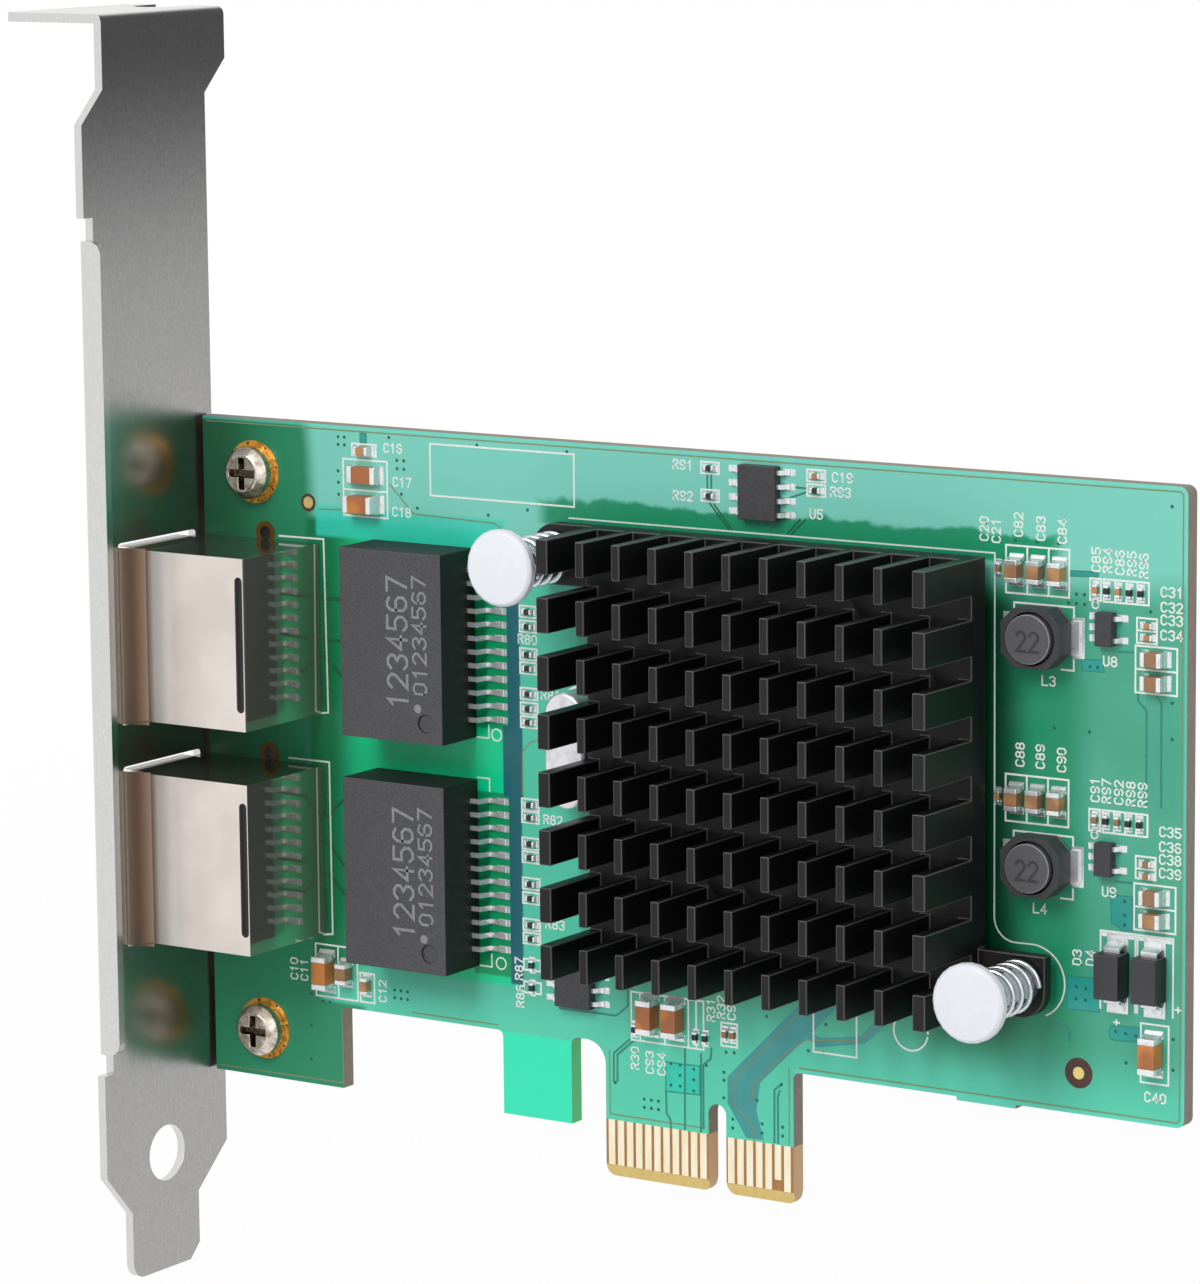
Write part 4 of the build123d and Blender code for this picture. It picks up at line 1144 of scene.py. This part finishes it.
# %% Traces
trace_wide, trace_high = 0.2, 0.012
outline_wide, outline_high = 0.12, 0.011
laminate_wide, laminate_high = 0.13, 0.009
deep_high = 0.014
dark_traces = [
    [(-9.52, 13.13), (-11.23, 11.67), (-11.26, 9.04)],
    [(-9.12, 13.04), (-10.83, 11.58), (-10.86, 9.09)],
    [(-5.53, 8.7), (-5.49, 6.75), (-5.1, 6.25), (-5.02, 5.5)],
    [(-3.44, 13.06), (-3.51, 5.55)],
    [(-1.7, 12.73), (-1.76, 5.55)],
    [(-0.58, 13.41), (-0.67, 12.44), (-1.47, 11.8), (-1.49, 5.9)],
    [(6.92, 11.09), (6.14, 10.45), (6.11, 5.6)],
    [(6.69, 10.39), (6.5, 9.9), (6.5, 5.6)],
    [(-17.2, 15.2), (-12.73, 15.22), (-10.95, 15.22), (-9.65, 16.27), (-9.65, 18.6)],
    [(42.92, 49.8), (42.92, 49.18), (43.73, 48.46), (43.76, 40.2)],
    [(44.67, 49.8), (45.15, 49.23), (45.19, 40.2)],
    [(41.06, 53.32), (42.5, 53.37)],
    [(40.9, 33.3), (42.6, 33.3)],
    [(34.62, 19.92), (35.23, 20.13), (36.14, 19.9), (36.36, 19.52), (36.37, 18.7)],
    [(-0.59, 65.9), (-0.6, 64.4)],
    [(-0.18, 65.9), (-0.19, 64.4)],
    [(6.08, 62.19), (6.08, 61.1)],
    [(8.6, 65.34), (10.0, 65.32)],
    [(7.9, 64.3), (9.8, 65.0)],
    [(15.6, 19.4), (21.4, 19.4), (22.6, 18.3), (28.0, 18.3)],
]
traces = bmesh.new()
for points in dark_traces:
    ribbon(traces, points, trace_wide, trace_high)
for corners in copper_shapes:
    ribbon(traces, corners, outline_wide, outline_high, closed=True)
settle(traces, "traces", TRACE)

deep_traces_and_bars = [
    (0.42, [(-45.4, 51.4), (-38.2, 51.54)]),
    (0.3, [(-45.2, 47.47), (-38.2, 47.56)]),
    (0.3, [(-45.0, 45.84), (-43.54, 45.96), (-41.66, 44.28), (-38.2, 44.2)]),
    (0.3, [(-44.6, 30.55), (-43.45, 30.62), (-41.66, 32.3), (-38.2, 32.4)]),
    (0.3, [(-44.5, 28.3), (-43.38, 27.93), (-41.59, 25.94), (-38.2, 25.9)]),
    (0.3, [(-44.7, 24.95), (-43.36, 25.02), (-41.48, 23.04), (-38.2, 23.0)]),
    # The four 0.34 mm lines are short dark bars beside the printed line at the jacks' end.
    (0.34, [(-44.06, 56.0), (-44.11, 52.77)]),
    (0.34, [(-44.97, 44.83), (-43.95, 44.71), (-43.81, 41.17)]),
    (0.34, [(-43.78, 35.24), (-43.83, 30.9)]),
    (0.34, [(-44.68, 23.57), (-43.87, 23.48), (-43.79, 19.44)]),
    (0.16, [(-0.34, 63.3), (1.64, 61.1)]),
    (0.16, [(0.12, 63.23), (1.98, 61.1)]),
    (0.16, [(9.66, 62.54), (8.2, 61.1)]),
    (0.16, [(9.1, 62.5), (7.75, 61.1)]),
]
deep = bmesh.new()
for width, points in deep_traces_and_bars:
    ribbon(deep, points, width, deep_high)
settle(deep, "deep_traces_and_bars", DEEP)

laminate_lines = [
    [(9.44, 18.43), (6.01, 15.04), (1.92, 11.0), (1.9, 8.41), (3.7, 6.87), (3.92, 5.54)],
    [
        (17.3, 18.05), (15.2, 16.15), (12.01, 15.72), (9.43, 15.46), (6.63, 13.36),
        (3.88, 10.57), (3.79, 9.27), (3.32, 9.2),
    ],
    [(-43.76, 59.85), (-41.3, 59.94)],
    [(-35.63, 62.73), (-32.94, 60.14), (-23.77, 59.88), (-22.82, 59.33)],
    [(-42.19, 12.0), (-42.19, 4.9), (-56.87, 4.85)],
    [(7.71, 12.6), (7.67, 5.6)],
    [(8.8, 12.78), (46.9, 12.75), (47.15, 13.0), (47.15, 67.2), (46.9, 67.45), (-57.0, 67.45)],
    [(-34.0, 12.75), (-24.2, 12.75)],
    [(-11.7, 11.9), (-11.7, 5.9), (-1.4, 5.9)],
    [(-21.07, 34.9), (-21.01, 38.84), (-20.19, 39.81), (-19.03, 40.17)],
]
lines = bmesh.new()
for points in laminate_lines:
    ribbon(lines, points, laminate_wide, laminate_high)
settle(lines, "laminate_lines", PAIR)

# %% [markdown]
# ## Traces on the back
# The back has no parts, only copper: lanes from the jacks' pins and from the contact edge to the
# controller. They are drawn on the front face like the others and then turned over, so the same
# ribbon serves both sides. The loops lay out each bundle of lanes at an even pitch.

# %% Traces on the back
def turn_over(shape):
    """Moves gathered faces from the front face of the board to the same spots on its back."""
    for vertex in shape.verts:
        vertex.co.y = (board_low.y + board_high.y) * MM - vertex.co.y


back_traces = []
for jack_z in (47.5, 27.4):
    for lane in range(6):
        level = jack_z + 3.2 - 1.25 * lane
        start, turn = -43.5 + 0.35 * lane, -29.0 + 0.7 * lane
        back_traces.append([(start, level), (turn, level), (turn + 3, level - 3), (-17.0, level - 3)])
for lane in range(8):
    x = -2.6 + 1.25 * lane
    back_traces.append([(x, 13.5 - 0.4 * lane), (x, 19.0), (x + 4, 23.0), (x + 4, 31.0 + lane)])
for lane in range(5):
    z = 34.0 + 1.4 * lane
    back_traces.append([(12.0, z), (24.0, z), (28.0, z + 4), (37.5 + lane, z + 4)])
back_traces += [
    [(33.5, 62.2), (20.0, 62.2), (14.0, 56.0), (0.0, 56.0)],
    [(41.7, 31.6), (41.7, 46.0), (38.2, 49.5), (38.2, 51.8)],
    [(46.5, 17.4), (46.5, 40.0), (44.1, 42.4), (44.1, 57.0)],
    [(36.9, 57.2), (22.0, 57.2), (17.0, 52.2), (6.0, 52.2)],
    [(37.0, 22.5), (24.0, 12.9), (9.7, 14.5)],
]
back_rim = [(8.8, 12.75), (46.9, 12.75), (47.15, 13.0), (47.15, 67.2), (46.9, 67.45), (-45.0, 67.45)]
back_wide = 0.22
back = bmesh.new()
for points in back_traces:
    ribbon(back, points, back_wide, trace_high)
ribbon(back, back_rim, laminate_wide, laminate_high)
turn_over(back)
settle(back, "back_traces", TRACE)

# %% [markdown]
# ## Vias
# A via is a drilled, plated hole with lacquer over it. From here it is a dark dot with a rim, so
# each is a low button a third of a millimetre wide. Some lie in grids and some alone.

# %% Vias
lone_vias = [
    (-2.5, 11.26), (-2.51, 10.27), (-2.52, 9.23), (-4.97, 11.47), (-3.98, 11.45), (-4.02, 10.48),
    (-4.99, 9.46), (-4.0, 9.49), (0.74, 11.39), (0.74, 10.64), (0.72, 9.0), (0.99, 13.27),
    (1.86, 13.33), (-1.15, 11.77), (1.66, 7.14), (1.65, 6.32), (4.8, 7.12), (4.79, 6.26),
    (6.98, 7.1), (6.98, 6.28), (4.26, 9.23), (5.33, 17.12), (11.59, 17.14), (9.73, 14.49),
    (11.27, 14.48), (6.88, 11.02), (-11.1, 8.9), (-41.56, 63.61), (-41.54, 62.53), (-41.54, 61.41),
    (-35.64, 67.1), (-25.68, 67.0), (-15.73, 67.0), (-34.32, 61.9), (-32.5, 60.7), (-24.51, 60.6),
    (-20.13, 61.37), (-45.81, 13.15), (-44.44, 12.6), (-43.66, 12.6), (-45.88, 10.09),
    (-45.96, 6.77), (36.13, 57.16), (36.9, 57.15), (37.69, 57.14), (36.88, 57.97), (37.66, 57.97),
    (34.79, 46.14), (38.2, 46.12), (46.18, 49.3), (46.21, 46.18), (44.07, 57.0), (46.06, 66.15),
    (38.25, 51.8), (38.98, 51.78), (41.71, 31.63), (41.71, 30.42), (41.72, 29.55), (37.03, 23.57),
    (37.96, 23.52), (36.99, 22.52), (37.94, 22.5), (40.92, 20.08), (41.89, 20.02), (42.89, 19.96),
    (46.5, 20.06), (46.5, 17.36), (41.94, 17.43), (30.9, 62.2), (33.02, 62.2), (35.13, 62.2),
]
via_grids = [
    (-41.5, 66.1, 2, 2, 0.72), (-34.76, 64.24, 2, 2, 0.78),
    (-7.94, 6.98, 3, 2, 0.78), (-36.02, 13.92, 3, 2, 0.75),
]
via_high = 0.018
via_sides = 8
for x, z, columns, rows, step in via_grids:
    lone_vias += [(x + step * i, z + step * j) for i in range(columns) for j in range(rows)]
vias = bmesh.new()
for x, z in lone_vias:
    disc(vias, x, z, 0.17, via_high, via_sides)
settle(vias, "vias", VIA)

lane_ends = [spot for points in back_traces for spot in (points[0], points[-1])]
back_vias = bmesh.new()
for x, z in lone_vias + lane_ends:
    disc(back_vias, x, z, 0.2, via_high, via_sides)
turn_over(back_vias)
settle(back_vias, "back_vias", VIA)

# %% [markdown]
# ## White printing
# Screen-printed ink marks where each part goes: boxes round the parts, with a line between
# neighbours. The ink stands higher than the copper under the lacquer, so it always lies on top.

# %% Printed lines and boxes
WHITE_INK = grained("white printing ink", (226, 234, 228), (246, 250, 247), 0.25, 0.55, 0.008)
ink_high = 0.03
print_wide = 0.17


def line(shape, points, width=print_wide, closed=False):
    """A printed line along points."""
    ribbon(shape, points, width, ink_high, closed)


def boxed(shape, left, low, right, high, uprights=(), levels=()):
    """A printed box with lines that part it."""
    line(shape, [(left, low), (right, low), (right, high), (left, high)], closed=True)
    for x in uprights:
        line(shape, [(x, low + print_wide), (x, high - print_wide)])
    for z in levels:
        line(shape, [(left + print_wide, z), (right - print_wide, z)])


print("printed lines are", print_wide, "mm wide")

# %% [markdown]
# ## The power converters' print
# The card has two like power converters, one under the other, so their print is drawn by a loop
# that comes down by one step. The four small parts to the right come down a little further.

# %% Printed boxes
converter_step = 20.05
printed = bmesh.new()
for drop in (0.0, converter_step):
    far = 1.03 * drop
    boxed(printed, 29.98, 57.6 - drop, 36.2, 61.75 - drop, (32.08, 34.18))
    boxed(printed, 38.24, 57.57 - drop, 39.3, 59.46 - drop)
    boxed(printed, 39.55, 57.53 - drop, 43.9, 59.46 - drop, (40.65, 41.73, 42.8))
    boxed(printed, 42.78, 54.25 - 1.02 * drop, 44.7, 56.4 - far, (), (55.32 - far,))
    boxed(printed, 42.65, 49.95 - far, 46.65, 54.0 - far, (), (51.98 - far,))
    top = 56.8 - drop
    line(printed, [(30.8, top - 1.1), (30.8, top), (36.67, top), (36.67, top - 1.1)])
    line(printed, [(35.5, top - 5.5), (36.67, top - 5.5), (36.67, top - 4.6)])
    line(printed, [(30.8, top - 4.6), (31.5, top - 5.4)])
    line(printed, arc(38.75, 57.2 - drop, 0.32, 0, 345), print_wide * 0.8)
for left, right in ((39.4, 42.8), (43.0, 46.45)):
    line(printed, [(left, 22.0), (left, 28.85), (right, 28.85), (right, 22.0)])
    line(printed, [(left + 0.3, 28.55), (right - 0.3, 28.55)], 0.36)
single_boxes = [
    (43.37, 15.94, 46.07, 21.14),
    (-39.89, 65.2, -37.14, 66.3),
    (-40.95, 59.5, -35.9, 64.8, (), (61.95,)),
    (-45.2, 13.1, -40.3, 18.15, (-42.56,)),
    (-40.0, 13.1, -38.35, 15.9),
    (-9.25, 13.2, -1.4, 17.7, (-8.3, -5.6, -3.05, -2.2)),
    (0.5, 13.85, 2.2, 16.0),
    (-30.97, 62.0, -14.96, 66.8),
    (10.3, 14.5, 14.8, 19.2),
]
for sides in single_boxes:
    boxed(printed, *sides)

# %% [markdown]
# ## Print round the chips and the heat sink
# Rings mark pin one, corners stand beside the transformers, and a line follows the heat sink and
# its ear. The chips in the column beside the transformers, and those over the heat sink, get
# their boxes from their own places. All the print is one piece.

# %% Print round the chips
line(printed, arc(20.4, 17.6, 1.75, 0, 348, 28))
line(printed, [(-48.55, 57.0), (-43.39, 57.04), (-43.19, 40.58), (-44.21, 40.4)])
line(printed, [(-47.93, 35.8), (-43.19, 35.82), (-43.14, 19.26), (-44.2, 19.1)])
line(printed, arc(-23.88, 40.18, 0.55, 0, 345, 14), 0.13)
line(printed, arc(-23.7, 18.65, 0.55, 0, 345, 14), 0.13)
for middle_z, first in ((40.3, 1), (18.7, 1), (35.5, -1)):
    corner = middle_z - 0.5 * first
    line(printed, [(-24.75, corner + 1.2 * first), (-24.75, corner), (-26.1, corner)], 0.12)
half_wide, half_tall = 0.95, 0.52
for kind, body, *caps in chips:
    spot = middle(body)
    in_column = -22.0 < spot.x < -19.0
    over_sink = -16.0 < spot.x < 16.0 and spot.y > 60.0
    if in_column or over_sink:
        left, low = spot.x - half_wide, spot.y - half_tall
        boxed(printed, left, low, spot.x + half_wide, spot.y + half_tall)
sink_line = [(-15.5, 60.95), (28.87, 60.95)] + arc(30.95, 28.9, 2.08, 180, 268, 9)
sink_line += arc(32.65, 23.6, 3.25, 88, -64, 20)
line(printed, sink_line, 0.14)
settle(printed, "printed_boxes", WHITE_INK)

# %% [markdown]
# ## Printed designators
# Each part has a letter for its kind and a number. The letters are single strokes on a grid two
# units wide and four high, as a plotter would draw them, and each stroke is a ribbon. The numbers
# are plain ones of our own.

# %% Stroke letters
strokes = {
    "0": [[(0, 0.7), (0, 3.3), (0.7, 4), (1.3, 4), (2, 3.3), (2, 0.7), (1.3, 0), (0.7, 0), (0, 0.7)]],
    "1": [[(0.4, 3.2), (1.1, 4), (1.1, 0)]],
    "2": [[(0, 3.3), (0.6, 4), (1.4, 4), (2, 3.3), (2, 2.6), (0, 0), (2, 0)]],
    "3": [[
        (0, 3.4), (0.6, 4), (1.4, 4), (2, 3.4), (2, 2.7), (1.2, 2.1), (2, 1.5), (2, 0.6),
        (1.4, 0), (0.6, 0), (0, 0.6),
    ]],
    "4": [[(1.5, 0), (1.5, 4), (0, 1.2), (2, 1.2)]],
    "5": [[(2, 4), (0.1, 4), (0.1, 2.3), (1.3, 2.4), (2, 1.7), (2, 0.7), (1.3, 0), (0.5, 0), (0, 0.6)]],
    "6": [[
        (1.8, 3.6), (1.2, 4), (0.6, 4), (0, 3.2), (0, 0.7), (0.6, 0), (1.4, 0), (2, 0.6),
        (2, 1.6), (1.4, 2.2), (0.1, 2.1),
    ]],
    "7": [[(0, 4), (2, 4), (0.7, 0)]],
    "8": [
        [
            (0.6, 2.1), (0.1, 2.7), (0.1, 3.4), (0.7, 4), (1.3, 4), (1.9, 3.4), (1.9, 2.7),
            (1.4, 2.1), (0.6, 2.1),
        ],
        [(0.6, 2.1), (0, 1.5), (0, 0.6), (0.6, 0), (1.4, 0), (2, 0.6), (2, 1.5), (1.4, 2.1)],
    ],
    "9": [[
        (0.2, 0.4), (0.8, 0), (1.4, 0), (2, 0.8), (2, 3.3), (1.4, 4), (0.6, 4), (0, 3.4),
        (0, 2.4), (0.6, 1.8), (1.9, 1.9),
    ]],
    "C": [[(2, 3.3), (1.4, 4), (0.6, 4), (0, 3.3), (0, 0.7), (0.6, 0), (1.4, 0), (2, 0.7)]],
    "R": [[(0, 0), (0, 4), (1.4, 4), (2, 3.4), (2, 2.7), (1.4, 2.1), (0.1, 2.1)], [(1.1, 2.0), (2, 0)]],
    "U": [[(0, 4), (0, 0.7), (0.6, 0), (1.4, 0), (2, 0.7), (2, 4)]],
    "L": [[(0, 4), (0, 0), (2, 0)]],
    "D": [[(0, 0), (0, 4), (1.2, 4), (2, 3.2), (2, 0.8), (1.2, 0), (0, 0)]],
    "+": [[(1, 0.9), (1, 3.1)], [(0, 2), (2, 2)]],
}


layer_step = 0.002  # strokes that cross lie at two heights, so their faces don't meet


def write(shape, words, x, z, turned=False, wide=0.25, tall=0.2, thick=0.14):
    """Writes on the board with the middle of the line at x and z; turned reads upwards."""
    start = -(3 * len(words) - 1) / 2
    for place, mark in enumerate(words):
        for layer, stroke in enumerate(strokes[mark]):
            points = [((start + 3 * place + a) * wide, (b - 2) * tall) for a, b in stroke]
            if turned:
                points = [(-b, a) for a, b in points]
            points = [(x + a, z + b) for a, b in points]
            ribbon(shape, points, thick, ink_high + layer_step * layer)


print("letters and digits in the plotter's hand:", "".join(strokes))

# %% [markdown]
# ## Designators
# Level words stand beside the parts and turned ones read upwards, each at the place of the word's
# middle. A list of words and places is all there is to it.

# %% Designators
level_words = [
    ("C16", -35.2, 66.1), ("C17", -34.2, 63.0), ("C18", -34.3, 60.2), ("R91", -3.2, 66.6),
    ("R92", -3.2, 63.8), ("C19", 13.5, 66.5), ("R93", 13.3, 65.2), ("U5", 10.8, 63.1),
    ("C31", 46.1, 58.8), ("C32", 46.1, 57.5), ("C33", 46.1, 56.4), ("C34", 46.1, 55.1),
    ("L3", 34.2, 50.2), ("U8", 40.2, 52.4), ("C35", 46.1, 38.1), ("C36", 46.1, 36.8),
    ("C38", 46.1, 35.7), ("C39", 46.1, 34.5), ("L4", 33.4, 30.1), ("U9", 40.2, 32.3),
    ("+", 41.0, 20.9), ("+", 46.95, 22.7), ("C40", 44.8, 14.7), ("R80", -20.3, 49.4),
    ("R81", -17.8, 44.4), ("R82", -17.7, 32.8), ("R83", -17.6, 23.0), ("R84", -9.7, 18.6),
]
turned_words = [
    ("C20", 27.8, 63.0), ("C21", 29.0, 62.9), ("C82", 31.2, 63.6), ("C83", 33.4, 63.4),
    ("C84", 35.5, 63.3), ("C85", 38.8, 61.1), ("R94", 39.9, 61.1), ("C86", 41.1, 61.0),
    ("R95", 42.25, 61.0), ("R96", 43.4, 60.9), ("C88", 31.4, 43.5), ("C89", 33.4, 43.5),
    ("C90", 35.5, 43.4), ("C91", 38.8, 41.1), ("R97", 39.9, 41.1), ("C92", 41.1, 41.1),
    ("R98", 42.25, 41.1), ("R99", 43.4, 41.1), ("D3", 37.1, 26.2), ("D4", 38.4, 26.3),
    ("C10", -47.8, 15.4), ("C11", -46.6, 15.4), ("C12", -37.4, 14.4), ("R86", -21.6, 15.8),
    ("R87", -21.7, 18.4), ("R30", -8.9, 11.5), ("C93", -7.3, 11.3), ("C94", -6.0, 11.3),
    ("R31", -0.6, 17.0), ("R32", 0.5, 17.4), ("C95", 1.6, 17.4),
]
letters = bmesh.new()
for words, x, z in level_words:
    write(letters, words, x, z)
for words, x, z in turned_words:
    write(letters, words, x, z, turned=True)
settle(letters, "designators", WHITE_INK)

# %% [markdown]
# ## Marks on the parts
# Moulded parts carry pale laser marks. Here they are plain digits of our own: two lines and a dot
# at pin one on each transformer, and two digits on the drum of each inductor. They are made on
# the board's face, like all the print, and then lifted to the top of the part.

# %% Marks on the parts
LASER = grained("pale marking", (120, 122, 126), (150, 152, 156), 0.2, 0.6, 0.004)


def lift(shape, top):
    """Moves gathered faces from the board's face to a height over it, in millimetres."""
    for vertex in shape.verts:
        vertex.co.y -= top * MM


for name, shift in (("upper_magnetics", 0.0), ("lower_magnetics", 0.3)):
    body = loose_boxes(name)[0]
    spot = middle(body)
    marks = bmesh.new()
    x = spot.x + shift
    write(marks, "1234567", x + 0.8, spot.y + 0.4, True, wide=0.6, tall=0.54, thick=0.28)
    write(marks, "01234567", x + 3.3, spot.y + 1.2, True, wide=0.47, tall=0.36, thick=0.22)
    disc(marks, x + 3.0, spot.y - 5.6, 0.42, ink_high, 20)
    lift(marks, body.top)
    settle(marks, name + "_marking", LASER)

marks = bmesh.new()
drums = loose_boxes("inductor_drums")
for drum in drums:
    spot = middle(drum)
    write(marks, "22", spot.x, spot.y - 0.2, wide=0.42, tall=0.42, thick=0.24)
lift(marks, drums[0].top)
settle(marks, "inductor_marking", FERRITE)

# %% [markdown]
# ## Rings in the lacquer
# The two gold sighting marks lie in round openings of the lacquer, one with a dark ring of bare
# laminate, and the gold rings under the screws are stitched through the board by small vias.

# %% Rings
DARK_RESIN = grained("bare laminate ring", (58, 34, 28), (92, 56, 44), 0.15, 0.5, 0.008)


def ring(shape, x, z, outer, inner, height, sides=40):
    """A flat ring with a slightly rounded rim."""
    bevel, shoulder = 0.05, height * 0.6
    profile = [
        (outer, 0.0), (outer, shoulder), (outer - bevel, height),
        (inner + bevel, height), (inner, shoulder), (inner, 0.0),
    ]
    circles = [(arc(x, z, radius, 0, 360, sides)[:-1], up) for radius, up in profile]
    loops = [
        [shape.verts.new(on_face(*circle[i], up)) for circle, up in circles] for i in range(sides)
    ]
    for first, second in zip(loops, loops[1:] + loops[:1]):
        join_rings(shape, first, second, closed=False)


gold_marks = loose_boxes("sighting_marks")
resin_rings = bmesh.new()
for mark, outer in zip(gold_marks, (0.85, 1.36)):
    spot = middle(mark)
    ring(resin_rings, spot.x, spot.y, outer, 0.58, 0.02)
settle(resin_rings, "sighting_rings", DARK_RESIN)

stitch_high = 0.062  # just over the gold of the rings
dots = bmesh.new()
for box in loose_boxes("bracket_screws"):
    spot = middle(box)
    for x, z in arc(spot.x, spot.y, 2.75, 12, 327, 7):
        disc(dots, x, z, 0.14, stitch_high, via_sides)
settle(dots, "ring_vias", DARK_RESIN)

# %% [markdown]
# ## The floor
# The card stands upright in a plain white studio. The floor's paper is lit like the card and keeps
# its shadow near the card; further out it passes into an even white, but only for rays from the
# camera and from glossy surfaces, so it never adds light to the card.

# %% Floor
floor_z = cad_box[0][2]
floor_size = 6.0
floor_gap = 0.0002
floor = bmesh.new()
bmesh.ops.create_grid(floor, x_segments=1, y_segments=1, size=floor_size / 2)
bmesh.ops.translate(floor, verts=floor.verts, vec=(0, 0, floor_z - floor_gap))
floor_mesh = bpy.data.meshes.new("studio_floor")
floor.to_mesh(floor_mesh)
floor.free()
floor_thing = bpy.data.objects.new("studio_floor", floor_mesh)
bpy.context.scene.collection.objects.link(floor_thing)

white = ink(255, 255, 255)
paper = Finish("studio paper", ink(236, 236, 236), 0.9)
fibre = paper.noise(3, detail=3)
paper.give({"Base Color": paper.mix(fibre, ink(234, 234, 234), ink(240, 240, 240))})
camera_ray = paper.node("ShaderNodeLightPath", out="Is Camera Ray")
glossy_ray = paper.node("ShaderNodeLightPath", out="Is Glossy Ray")
length = paper.node("ShaderNodeVectorMath", {"operation": "LENGTH"}, {0: paper.place()}, out="Value")
share = (0.97 + length.rises(0.12, 0.45) * 0.03) * (camera_ray + glossy_ray)
lit = Socket(paper, paper.shader.outputs[0])
glow = paper.node("ShaderNodeEmission", values={"Color": white, "Strength": 1.0})
surface = paper.node("ShaderNodeMixShader", values={0: share, 1: lit, 2: glow})
paper.feed(paper.tree.nodes["Material Output"].inputs["Surface"], surface)
dress(floor_thing, paper.material)
print("floor at", round(floor_z / MM, 2), "mm")

# %% [markdown]
# ## The world
# For the camera and in reflections the world is plain white. As a light it is weaker, so the
# colours come out as they are written. Light Path tells the two kinds of ray apart.

# %% World
world = bpy.data.worlds.new("studio")
bpy.context.scene.world = world
world.use_nodes = True
sky = Graph(world.node_tree)
sky.tree.nodes.remove(sky.tree.nodes["Background"])
camera_ray = sky.node("ShaderNodeLightPath", out="Is Camera Ray")
glossy_ray = sky.node("ShaderNodeLightPath", out="Is Glossy Ray")
either = sky.node("ShaderNodeMath", {"operation": "MAXIMUM"}, {0: camera_ray, 1: glossy_ray})
soft = sky.node("ShaderNodeBackground", values={"Color": white, "Strength": 0.42})
seen = sky.node("ShaderNodeBackground", values={"Color": white, "Strength": 1.0})
chosen = sky.node("ShaderNodeMixShader", values={0: either, 1: soft, 2: seen})
sky.feed(sky.tree.nodes["World Output"].inputs["Surface"], chosen)
print("the world has", len(sky.tree.nodes), "nodes")

# %% [markdown]
# ## Lamps
# One large soft lamp stands in front, above and to the left, and a weak one on the right fills the
# shadows. Square area lamps give the metal soft highlights with an edge.

# %% Lamps
def lamp(name, place, target, power, size):
    """A soft square lamp that looks at a point of the card."""
    light = bpy.data.lights.new(name, "AREA")
    light.energy = power
    light.size = size
    thing = bpy.data.objects.new(name, light)
    thing.location = place
    aim = Vector(target) - Vector(place)
    thing.rotation_euler = aim.to_track_quat("-Z", "Y").to_euler()
    bpy.context.scene.collection.objects.link(thing)


middle_of_card = (-0.01, 0.0, 0.04)
lamp("key_light", (-0.05, -0.8, 0.7), middle_of_card, power=5.5, size=0.5)
lamp("side_light", (0.7, -0.5, 0.3), middle_of_card, power=0.8, size=0.6)
print("lamps:", len(bpy.data.lights))

# %% [markdown]
# ## The camera
# The camera was fitted to points of the bracket and the contacts in the photograph. The fit gives
# its place and three directions: the picture's right, its down, and the way it looks. A camera
# in Blender looks along its own -Z with +Y up, so down and ahead are turned round.

# %% Camera
view = bpy.data.cameras.new("photo_camera")
view.sensor_width = 36
view.lens = 153.8
view.clip_end = 20
eye = bpy.data.objects.new("photo_camera", view)
eye_place = Vector((261.93, -408.93, 129.16)) * MM
right = Vector((0.8309, 0.5564, -0.0100))
down = Vector((0.0804, -0.1379, -0.9872))
ahead = Vector((-0.5506, 0.8194, -0.1593))
turn = Matrix((right, -down, -ahead)).transposed()
eye.matrix_world = Matrix.Translation(eye_place) @ turn.to_4x4()
bpy.context.scene.collection.objects.link(eye)
bpy.context.scene.camera = eye
bpy.context.scene.view_settings.view_transform = "Standard"
print("camera at", [round(part, 3) for part in eye_place], "m")
